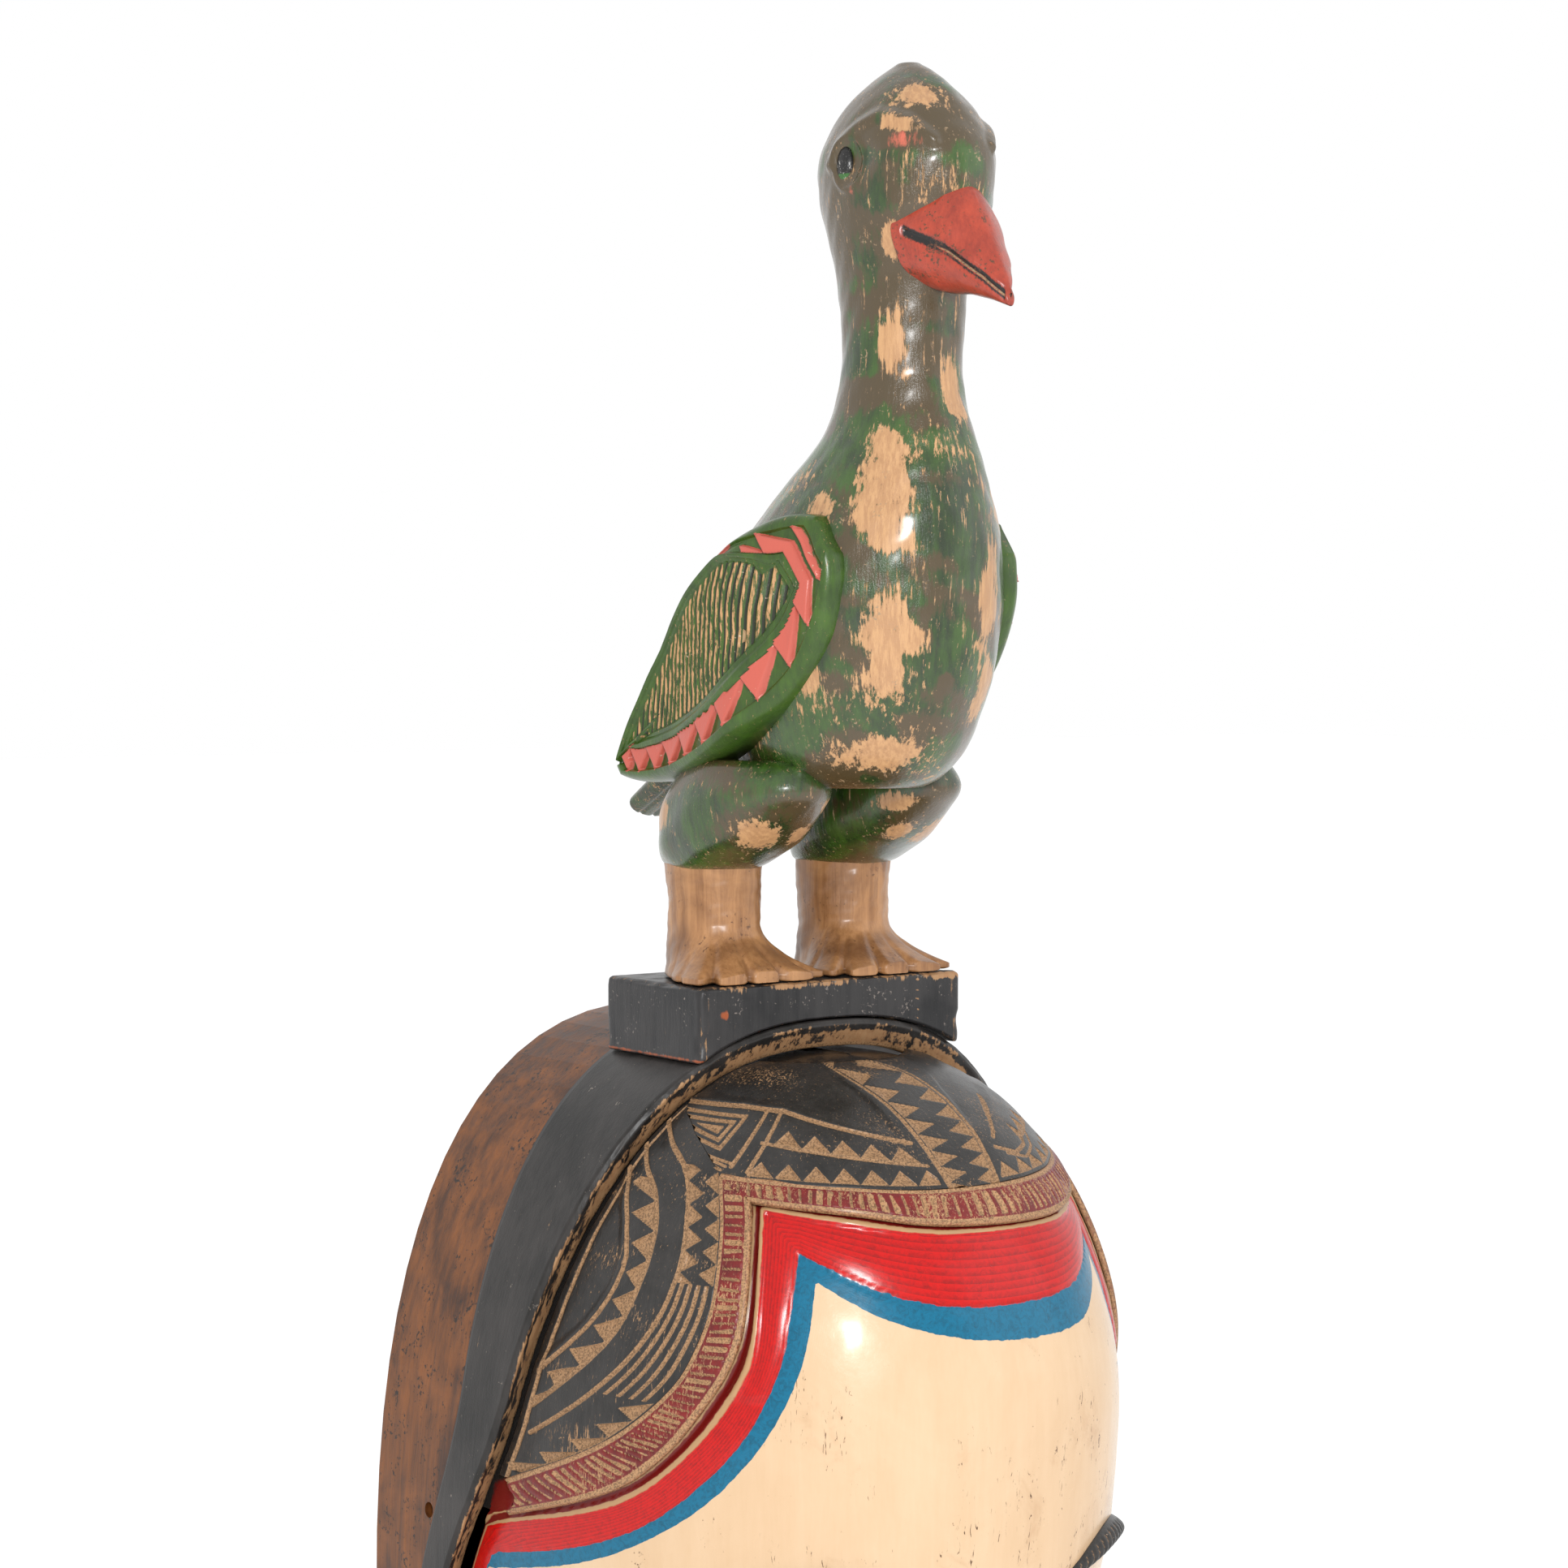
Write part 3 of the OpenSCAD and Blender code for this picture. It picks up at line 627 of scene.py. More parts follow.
@dataclass(frozen=True)
class FaceFinish:
    """The face's paints, laid in zones that the mark `zone` numbers from the hair inward.

    The mark `line` paints shade into carved seams, `wear` adds rubbed places and `dirt` adds
    specks.
    """

    name: str = "face_paints"
    red: Colour = (0.52, 0.003, 0.002)
    deep_red: Colour = (0.24, 0.003, 0.003)
    # Dark red painted as shade in the groove between the hatched band and the red band's ledge; it
    # also lies under the hatched band.
    ledge: Colour = (0.15, 0.007, 0.006)
    tan: Colour = (0.42, 0.25, 0.12)
    blue: Colour = (0.0, 0.125, 0.225)
    cream: Colour = (0.68, 0.5, 0.33)
    deep_cream: Colour = (0.56, 0.37, 0.21)
    stain: Colour = (0.34, 0.16, 0.06)
    dirt: Colour = (0.1, 0.05, 0.025)
    hidden: Colour = (0.02, 0.017, 0.015)
    gloss: Gloss = Gloss(0.22, 0.5, 0.2, 0.12, 0.12, 0.25)

    def build(self, effects: Effects) -> bpy.types.Material:
        """Makes the material.

        Args:
            effects: The shared node groups.

        Returns:
            The material.
        """
        material, book, place = start_material(self.name)
        shiver = book.noise(place, 260.0, 3.0, 0.6)
        zone = book.sway(book.mark("zone"), shiver, 0.16)
        streak = book.math("FRACT", book.math("MULTIPLY", book.mark("zone"), 9.0))
        hair_line = book.noise(place, 420.0, 5.0, 0.75, 1.5)
        ripple = book.blend(streak, hair_line, 0.25)
        red = book.mix(book.span(ripple, 0.35, 0.75), self.red, self.deep_red)
        cream = book.group(effects.brushed, {
            "Vector": place, "Paint": self.cream, "Deep": self.deep_cream, "Size": 16.0,
            "Contrast": 1.2})
        cloud = book.noise(place, 34.0, 5.0, 0.65, 0.5)
        fine = book.noise(book.stretch(place, (5.0, 5.0, 1.0)), 130.0, 4.0, 0.6, 2.0)
        stained = book.mix(book.math("MULTIPLY", book.span(cloud, 0.56, 0.74), 0.32),
                           cream.outputs["Color"], self.stain)
        crack = book.math("MULTIPLY", book.span(fine, 0.63, 0.67), book.span(cloud, 0.52, 0.58))
        skin = book.mix(crack, stained, self.dirt)
        blue = book.mix(book.span(hair_line, 0.4, 0.7), self.blue,
                        tuple(0.6 * c for c in self.blue))
        # Zones 1.12 to 1.55 take the dark `ledge` red as painted shade in the groove below the
        # hatched band.
        steps = ((-0.1, 0.0, self.ledge), (1.0, 1.06, self.tan), (1.12, 1.2, self.ledge),
                 (1.55, 1.62, self.tan), (1.8, 1.9, red), (2.99, 3.02, blue),
                 (3.97, 4.0, skin))
        colour: object = self.hidden
        for low, high, paint in steps:
            colour = book.mix(book.span(zone, low, high), colour, paint)
        # Painted shade: the mark `line` darkens the eyelid seams and nostrils with the dirt colour.
        colour = book.mix(book.span(book.mark("line"), 0.35, 0.6), colour, self.dirt)
        chips = book.group(effects.worn, {"Vector": place, "Paint": colour, "Under": self.tan,
                                          "Wear": book.mark("wear"), "Size": 150.0})
        dirty = book.group(effects.specks, {
            "Vector": place, "Paint": chips.outputs["Color"], "Dust": self.dirt,
            "Amount": book.mark("dirt"), "Size": 620.0})
        rough = book.math("MAXIMUM", chips.outputs["Mask"], book.math("MULTIPLY", ripple, 0.4))
        height = book.math("SUBTRACT", book.math("MULTIPLY", ripple, 0.8),
                           dirty.outputs["Mask"])
        end_material(book, dirty.outputs["Color"], rough, height, self.gloss)
        return material


BLACK: Colour = (0.012, 0.011, 0.01)
BLACK_SHEEN: Colour = (0.03, 0.027, 0.025)
TAN: Colour = (0.36, 0.205, 0.1)
CREAM_TAN: Colour = (0.52, 0.29, 0.13)
GREEN: Colour = (0.036, 0.085, 0.01)
DEEP_GREEN: Colour = (0.013, 0.026, 0.007)
OLIVE: Colour = (0.066, 0.044, 0.017)

FINISHES = {
    "carved": PaintedWood("carved_hair_black", BLACK_SHEEN, BLACK, TAN, wear=0.2, size=70.0,
                          dust=TAN, dust_amount=0.12, gloss=Gloss(0.28, 0.7, 0.15, 0.18, 0.35)),
    "band": PaintedWood("hatched_band_red", (0.2, 0.008, 0.007), (0.09, 0.006, 0.006),
                        (0.45, 0.25, 0.12), wear=0.18, size=90.0, dust_amount=0.05,
                        gloss=Gloss(0.3, 0.6, 0.15, 0.2, 0.3)),
    "border": PaintedWood("border_black", (0.034, 0.03, 0.028), (0.012, 0.011, 0.01), TAN,
                          wear=0.1, size=24.0, contrast=3.4, dust=(0.2, 0.17, 0.14),
                          dust_amount=0.16, gloss=Gloss(0.34, 0.62, 0.1, 0.25, 0.3, 0.25)),
    "block": PaintedWood("block_black", (0.034, 0.032, 0.032), (0.011, 0.011, 0.012), TAN,
                         second=(0.3, 0.07, 0.02), wear=0.13, size=26.0, contrast=3.4,
                         dust=(0.2, 0.17, 0.15), dust_amount=0.26,
                         gloss=Gloss(0.3, 0.6, 0.12, 0.25, 0.35, 0.25)),
    "plumage": PaintedWood("plumage_green", GREEN, DEEP_GREEN, CREAM_TAN, OLIVE, wear=0.225,
                           size=34.0, contrast=4.2, dust=(0.3, 0.2, 0.11), dust_amount=0.24,
                           gloss=Gloss(0.2, 0.5, 0.5, 0.16, 0.5, 0.45)),
    # The wing's blush is a near-black green, the painted shade in its grooves.
    "wing": PaintedWood("wing_green", (0.05, 0.11, 0.012), (0.024, 0.05, 0.01), CREAM_TAN,
                        (0.5, 0.1, 0.07), blush=(0.016, 0.02, 0.008), wear=0.16, size=60.0,
                        dust_amount=0.15, gloss=Gloss(0.26, 0.55, 0.25, 0.18, 0.3, 0.3)),
    # The beak's second paint is black: the mouth slit's paint, and painted shade on the beak's
    # underside.
    "beak": PaintedWood("beak_coral", (0.42, 0.055, 0.026), (0.25, 0.032, 0.018),
                        (0.32, 0.2, 0.1), (0.01, 0.009, 0.008), wear=0.04, size=110.0,
                        dust=(0.1, 0.04, 0.02), dust_amount=0.42,
                        gloss=Gloss(0.28, 0.5, 0.25, 0.18, 0.25)),
    "eye": PaintedWood("bird_eye_dark", (0.012, 0.011, 0.01), (0.006, 0.006, 0.006),
                       (0.5, 0.48, 0.44), (0.03, 0.12, 0.02), wear=0.1, size=300.0,
                       dust=(0.5, 0.48, 0.44), dust_amount=0.4,
                       gloss=Gloss(0.15, 0.4, 0.3, 0.1)),
    "brow": PaintedWood("brow_black", BLACK_SHEEN, BLACK, TAN, wear=0.05, size=120.0,
                        gloss=Gloss(0.3, 0.6, 0.2, 0.2, 0.3)),
    "lips": PaintedWood("lip_red", (0.4, 0.02, 0.012), (0.22, 0.014, 0.01), TAN, wear=0.1,
                        size=90.0, gloss=Gloss(0.25, 0.5, 0.4, 0.15, 0.2)),
    "leg": GrainedWood("leg_bare_wood", (0.44, 0.22, 0.09), (0.2, 0.085, 0.03), 30.0,
                       (0.13, 0.055, 0.022), 0.3, Gloss(0.26, 0.5, 0.3, 0.22, 0.4)),
    "rim": GrainedWood("rim_stained_wood", (0.21, 0.068, 0.014), (0.045, 0.015, 0.005), 20.0,
                       (0.02, 0.01, 0.006), 0.4, Gloss(0.32, 0.55, 0.12, 0.22, 0.25, 0.25)),
    "peg": GrainedWood("peg_bare_wood", (0.5, 0.33, 0.18), (0.32, 0.2, 0.1), 60.0),
    "face": FaceFinish(),
}


# ---- Mask ----


@dataclass(frozen=True)
class MaskForm:
    """Shape of the mask in millimetres: outline, depths and the face's surface.

    Places on the face are a side angle, 0 on the right to 180 on the left, and a height.
    """

    half_w: float = 112.0
    up: float = 198.0
    down: float = 135.0
    crown_power: float = 2.5
    chin_power: float = 2.1
    rim_wall: float = 12.0
    rim_inset: float = 2.0
    rim_depth: float = 50.0
    rim_depth_low: float = 28.0
    cheek_rise: float = 25.0
    border_wall: float = 9.0
    border_depth: float = 55.0
    border_depth_low: float = 14.0
    forehead_reach: float = 197.0
    crown_reach: float = 92.0
    forehead_drop: float = 118.0
    chin_reach: float = 158.0
    face_power: float = 2.2
    seat: float = 0.4

    @property
    def level(self) -> float:
        """Height of the widest level."""
        return -(self.up - self.rim_wall / 2 - self.rim_inset)

    @property
    def crown_z(self) -> float:
        """Height of the mask's top."""
        return self.level + self.up

    @property
    def cheek_z(self) -> float:
        """Height where the border starts to deepen."""
        return self.level + self.cheek_rise

    @property
    def face_inset(self) -> float:
        """Inset of the face from the outline."""
        return self.border_wall + self.seat

    @property
    def top_z(self) -> float:
        """Top of the face's surface."""
        return self.level + (self.up - self.face_inset) * 0.997

    @property
    def base_z(self) -> float:
        """Bottom of the face's surface."""
        return self.level - (self.down - self.face_inset) * 0.997

    @property
    def hairline_z(self) -> float:
        """Upper end of the face's three equal thirds."""
        return self.level + 0.59 * self.up

    @property
    def face_low_z(self) -> float:
        """Lower end of the face's three equal thirds."""
        return self.level - 0.94 * self.down

    @property
    def third(self) -> float:
        """One of three equal parts from the hairline to the chin."""
        return (self.hairline_z - self.face_low_z) / 3

    @property
    def brow_z(self) -> float:
        """Height of the brows."""
        return self.hairline_z - self.third

    @property
    def eye_z(self) -> float:
        """Height of the eyes."""
        return self.brow_z - 0.42 * self.third

    @property
    def nose_z(self) -> float:
        """Height of the nose's base."""
        return self.hairline_z - 2 * self.third

    @property
    def mouth_z(self) -> float:
        """Height of the mouth."""
        return self.nose_z - 0.33 * self.third

    def width(self, z: Array, inset: Array | float) -> Array:
        """Half-width of the outline at a height, inset by some amount."""
        upper = z >= self.level
        h = np.where(upper, self.up, self.down) - inset
        p = np.where(upper, self.crown_power, self.chin_power)
        t = np.minimum(np.abs(z - self.level) / h, 1)
        return (self.half_w - inset) * (1 - t**p) ** (1 / p)

    def outline(self, turn: Array, inset: Array | float) -> tuple[Array, Array]:
        """Outline's x and z at a turn in radians, inset by some amount."""
        upper = np.sin(turn) >= 0
        p = np.where(upper, self.crown_power, self.chin_power)
        h = np.where(upper, self.up, self.down) - inset
        return ((self.half_w - inset) * spow(np.cos(turn), 2 / p),
                self.level + h * spow(np.sin(turn), 2 / p))

    def rim_front(self, z: Array) -> Array:
        """Depth of the rim's front edge at a height."""
        return self.rim_depth + (self.rim_depth_low - self.rim_depth) * ease(
            (self.cheek_z + 60 - z) / 90)

    def border_front(self, z: Array) -> Array:
        """Depth of the border's ridge at a height."""
        share = np.maximum(0, (z - self.cheek_z) / (self.crown_z - self.cheek_z))
        return self.rim_front(z) + self.border_depth_low + (
            self.border_depth - self.border_depth_low) * share**1.2

    def front(self, z: Array) -> Array:
        """Distance from the wall to the middle of the face at a height."""
        full_z = self.crown_z - self.forehead_drop
        chin_z = self.face_low_z + 27
        chin_end = self.border_depth_low + self.rim_depth_low + 40
        top = np.clip((z - full_z) / (self.top_z + 2 - full_z), 0, 1)
        low = np.clip((chin_z - z) / (chin_z + 1 - self.base_z), 0, 1)
        middle = lookup(z, ((full_z, self.forehead_reach), (self.brow_z, self.forehead_reach - 4),
                            (self.eye_z, self.forehead_reach - 16),
                            (self.nose_z, self.forehead_reach - 22),
                            (self.mouth_z, self.forehead_reach - 27), (chin_z, self.chin_reach)))
        upper = self.crown_reach + (self.forehead_reach - self.crown_reach) * np.sqrt(1 - top**2)
        lower = chin_end + (self.chin_reach - chin_end) * np.sqrt(1 - low**2)
        return np.where(z >= full_z, upper, np.where(z >= chin_z, middle, lower))

    def side(self, z: Array) -> Array:
        """Distance from the wall to the face's outer edge at a height."""
        return np.minimum(self.border_front(z) - 8, self.front(z) - 30)

    def point(self, a: Array, z: Array, out: Array | float = 0.0) -> Array:
        """Points of the face's surface, raised by some amount."""
        side = self.side(z)
        turn = np.radians(a)
        power = 2 / self.face_power
        x = self.width(z, self.face_inset - out) * spow(np.cos(turn), power)
        reach = side + (self.front(z) + out - side) * np.clip(np.sin(turn), 0, 1) ** power
        return np.stack([x, -reach, z], axis=1)

    def ridge_angle(self, z: Array) -> Array:
        """Side angle on the left at which the face clears the border's ridge."""
        side = self.side(z)
        share = (self.border_front(z) + 2 * self.seat - side) / (self.front(z) - side)
        return 180 - np.degrees(np.arcsin(np.clip(share, 0, 1) ** (self.face_power / 2)))

@dataclass(frozen=True)
class Bands:
    """Lines between the headdress's hatched band, the red and blue bands and the face.

    Line 0 is the hatched band's outer edge, 1 its inner edge, 2 the start of the red band,
    3 the edge between red and blue, and 4 the edge between blue and the face. Each has a
    middle part, heights by side angle, and a side part, side angles by height.
    """

    middle: tuple[Table, ...] = (
        ((38, -33), (62, -36), (95, -36.8), (120, -35.2), (150, -33.2)),
        ((38, -40), (60, -46), (80, -47), (101, -45.3), (119, -41.5), (142, -38.7)),
        ((38, -43.5), (60, -50), (80, -50.5), (101, -49.5), (119, -46), (138, -42.5)),
        ((45, -54), (56, -62), (72, -69.5), (94, -70.6), (112, -65.5), (130.5, -53.8)),
        ((50, -61), (60, -72), (72, -80), (92, -80.6), (112, -73.2), (127, -61.5)))
    side: tuple[Table, ...] = (
        ((-25, 152), (-33.2, 149.6), (-48, 146.6), (-67, 145.8), (-82, 147.4), (-95.6, 150.9),
         (-113.4, 160.2), (-129, 172.8), (-136, 178)),
        ((-38.7, 142), (-47.5, 140.9), (-72, 140), (-86, 141.5), (-99, 145), (-113, 149.5),
         (-124, 154.6), (-132, 161.5), (-140, 171), (-146, 178)),
        ((-42.5, 138), (-60, 137.4), (-84, 137.2), (-99, 140.3), (-113.4, 145.4),
         (-127.6, 151.8), (-136, 158.5), (-143.5, 168.5), (-150, 177)),
        ((-53.8, 130.5), (-70, 131.6), (-84.5, 132.6), (-106, 137), (-127, 145), (-140, 152.5),
         (-150, 162.5), (-158, 175)),
        ((-61.5, 127), (-84.5, 128.9), (-106, 133.6), (-127, 141), (-143, 150.6),
         (-154, 160.5), (-164, 175)))

    def middle_z(self, line: int, a: Array) -> Array:
        """Height of a line's middle part."""
        return smooth_lookup(a, self.middle[line])

    def side_a(self, line: int, z: Array) -> Array:
        """Side angle of a line's side part, on the left."""
        return smooth_lookup(z, self.side[line])

    def zone(self, a: Array, z: Array) -> Array:
        """Place across the bands: 0 on line 0, up to 4 on line 4 and more inside it."""
        steps = np.arange(5.0)
        heights = np.stack([-self.middle_z(k, a) for k in range(5)], axis=1)
        parts = []
        for mirror in (a, 180 - a):
            angles = np.stack([-self.side_a(k, z) for k in range(5)], axis=1)
            parts.append(self.between(-mirror, angles, steps))
        return np.minimum(self.between(-z, heights, steps), np.minimum(*parts))

    @staticmethod
    def between(value: Array, edges: Array, steps: Array) -> Array:
        """Place of a value among rising edges, going on at both ends."""
        gaps = np.diff(edges, axis=1)
        total = steps[0] + (value - edges[:, 0]) / gaps[:, 0]
        for k in range(1, edges.shape[1]):
            gap = gaps[:, min(k, gaps.shape[1] - 1)]
            total = np.where(value > edges[:, k], steps[k] + (value - edges[:, k]) / gap, total)
        return total


@dataclass
class ShownNodes:
    """CAD nodes that stay in sight, in a finish of their own."""

    names: tuple[str, ...]
    finish: str

    def dress(self, effects: Effects) -> None:
        """Gives the nodes their finish."""
        wood = FINISHES[self.finish].build(effects)
        for name in self.names:
            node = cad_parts[name]
            node.data.materials.clear()
            node.data.materials.append(wood)


@dataclass
class Border:
    """Black border: outer wall, narrow front bevel and a worn fillet down to the face."""

    form: MaskForm
    cols: int = 620
    bevel: float = 1.6
    fillet: float = 5.0

    def profile(self, v: Array, z: Array) -> tuple[Array, Array]:
        """Inset and depth along the wall's closed profile, starting at the rear outside."""
        ridge = self.form.border_front(z)
        rear = self.form.rim_front(z) + 0.05
        wall = self.form.border_wall
        corners = np.array([(0, 0, 0, 0), (0.4, 0, -1.2, 1), (0.47, self.bevel, 0, 1),
                            (0.72, wall, -self.fillet, 1), (0.95, wall, -9, 0), (1, 0, 0, 0)])
        inset, drop, share = (np.interp(v, corners[:, 0], corners[:, k]) for k in (1, 2, 3))
        return inset, rear + (ridge + drop - rear) * share

    def place(self, u: Array, v: Array) -> Surface:
        """The border's surface at shares around and across."""
        turn = 2 * math.pi * u
        _, z = self.form.outline(turn, 0)
        inset, depth = self.profile(v, z)
        x, z = self.form.outline(turn, inset)
        points = np.stack([x, -depth, z], axis=1)
        front = ease((v - 0.36) / 0.05) * ease((0.78 - v) / 0.05)
        knife = wobble(points, 9, 1.0) * 0.22 + wobble(points, 3.1, 4.0) * 0.1
        points[:, 1] -= np.minimum(0, front * knife - 0.2 * front)
        fillet = ease((v - 0.5) / 0.06) * ease((0.76 - v) / 0.04)
        line = bell(v - 0.7, 0.05)
        wear = 0.42 * fillet + 0.3 * line + 0.12 * wobble(points, 30, 2.0) * fillet
        wear += bell(v - 0.48, 0.06) * (0.3 + 0.2 * wobble(points, 26, 0.9))
        return Surface(points, {"wear": wear, "cut": 0.75 * line})

    def build(self, effects: Effects) -> None:
        """Makes the piece."""
        bm = grid(self.cols, 60, self.place)
        finish_mesh("carved_border", bm, FINISHES["border"].build(effects), "border")


@dataclass
class FaceShell:
    """Face with its red and blue bands carved in low relief."""

    form: MaskForm
    bands: Bands
    wall: float = 11.0
    cols: int = 330
    rows: int = 230
    dense_z: float = -175.0
    dense_share: float = 0.24

    def height_at(self, v: Array, inside: float) -> Array:
        """Height at a share up, with most rows on the carved upper part."""
        low, top = self.form.base_z + inside, self.form.top_z - inside
        lower = low + (self.dense_z - low) * (1 - np.cos(np.clip(v / self.dense_share, 0, 1)
                                                         * math.pi / 2))
        t = np.clip((v - self.dense_share) / (1 - self.dense_share), 0, 1)
        upper = self.dense_z + (top - self.dense_z) * np.sin(t * math.pi / 2) ** 0.9
        return np.where(v <= self.dense_share, lower, upper)

    def outside(self, u: Array, v: Array) -> Surface:
        """Outer surface, with ledges, grooves and the marks of its zones."""
        a = 180 - 180 * u
        z = self.height_at(v, 0)
        zone = self.bands.zone(a, z)
        raw = self.form.point(a, z)
        relief = -0.25 + 0.18 * wobble(raw, 60, 0.4) + 0.06 * wobble(raw, 17, 2.2)
        relief -= 1.1 * bell(zone - 1.3, 0.28)
        relief += 1.5 * bell(zone - 1.75, 0.34) - 0.8 * ease((1.0 - zone) / 0.2)
        relief += 0.9 * bell(zone - 2.5, 0.62) - 0.5 * bell(zone - 3.02, 0.1)
        relief = np.minimum(relief, np.where(z < -95, 0.0, 2.0))
        ledge = bell(zone - 1.72, 0.2)
        wear = 0.3 * ledge * (0.5 + 0.5 * wobble(raw, 22, 3.0)) - 0.06
        face_side = ease((zone - 4.1) / 0.6)
        # The dark specks grow heavier towards the face's right side.
        dirt = face_side * (0.06 + 0.1 * wobble(raw, 70, 1.5) + 0.26 * ease((64 - a) / 14))
        edge = np.minimum(u, 1 - u) < 0.5 / self.cols
        return self.closed_low(v, Surface(self.form.point(a, z, relief), {
            "zone": np.where(edge, 5, zone), "wear": np.where(edge, 0.8, wear), "dirt": dirt}))

    @staticmethod
    def closed_low(v: Array, surface: Surface) -> Surface:
        """The surface with its lowest row drawn together on the middle plane."""
        surface.points[:, 0] *= v > 1e-4
        return surface

    def inside(self, u: Array, v: Array) -> Surface:
        """Hollow behind the face."""
        z = self.height_at(v, self.wall)
        points = self.form.point(180 * u, z, -self.wall)
        points[:, 1] = np.minimum(points[:, 1] + 0.35 * self.wall * ease((-240 - z) / 60), -1)
        return self.closed_low(v, Surface(points, {"zone": 5 + 0 * u, "wear": 0.8 + 0 * u,
                                                   "dirt": 0.4 + 0 * u}))

    def build(self, effects: Effects) -> None:
        """Makes the piece: two sheets joined round their edges."""
        bm = grid(self.cols, self.rows, self.outside)
        outer = [e for e in bm.edges if e.is_boundary]
        grid(60, 44, self.inside, bm)
        outer_set = set(outer)
        inner = [e for e in bm.edges if e.is_boundary and e not in outer_set]
        bmesh.ops.bridge_loops(bm, edges=outer + inner)
        finish_mesh("painted_face", bm, FINISHES["face"].build(effects), "face_shell")


@dataclass
class Carving:
    """Cuts gathered on one panel: how bare each point is and how deep it lies."""

    p: Array
    q: Array
    scale: tuple[float, float]
    bare: Array = field(init=False)
    depth: Array = field(init=False)

    def __post_init__(self) -> None:
        """Starts with an uncut panel."""
        self.bare = np.zeros(len(self.p))
        self.depth = np.zeros(len(self.p))

    def add(self, reach: Array, deep: float, soft: float = 0.7, where: Array | None = None) -> None:
        """Cuts away what lies inside a shape.

        Args:
            reach: Distance inside the shape, below 0 outside it.
            deep: Greatest depth of the cut.
            soft: Width over which the paint ends.
            where: Places that the tool reaches, or none for all.
        """
        keep = 1.0 if where is None else where
        self.bare = np.maximum(self.bare, np.clip(0.5 + reach / soft, 0, 1) * keep)
        self.depth = np.maximum(self.depth, np.clip(reach, 0, deep) * keep)

    def line(self, points: Corners, half: float = 0.8, where: Array | None = None) -> None:
        """Cuts a groove along a broken line of places on the panel."""
        kx, ky = self.scale
        chart = tuple((x * kx, y * ky) for x, y in points)
        reach = half - line_reach(self.p * kx, self.q * ky, chart)
        self.add(reach, 0.9, 0.7, where)

    def curve(self, table: Table, half: float = 0.8, where: Array | None = None) -> None:
        """Cuts a groove along a smooth curve given as rows of (height, angle)."""
        rows = smooth_rows(sorted(table), 4)
        self.line(tuple((float(a), float(z)) for z, a in rows), half, where)

    def frames(self, corners: Corners, pitch: float, count: int) -> None:
        """Cuts outlines that lie inside each other."""
        kx, ky = self.scale
        chart = tuple((x * kx, y * ky) for x, y in corners)
        inside = inside_reach(self.p * kx, self.q * ky, chart)
        for k in range(count):
            self.add(0.75 - np.abs(inside - pitch * (k + 0.3)), 0.9)


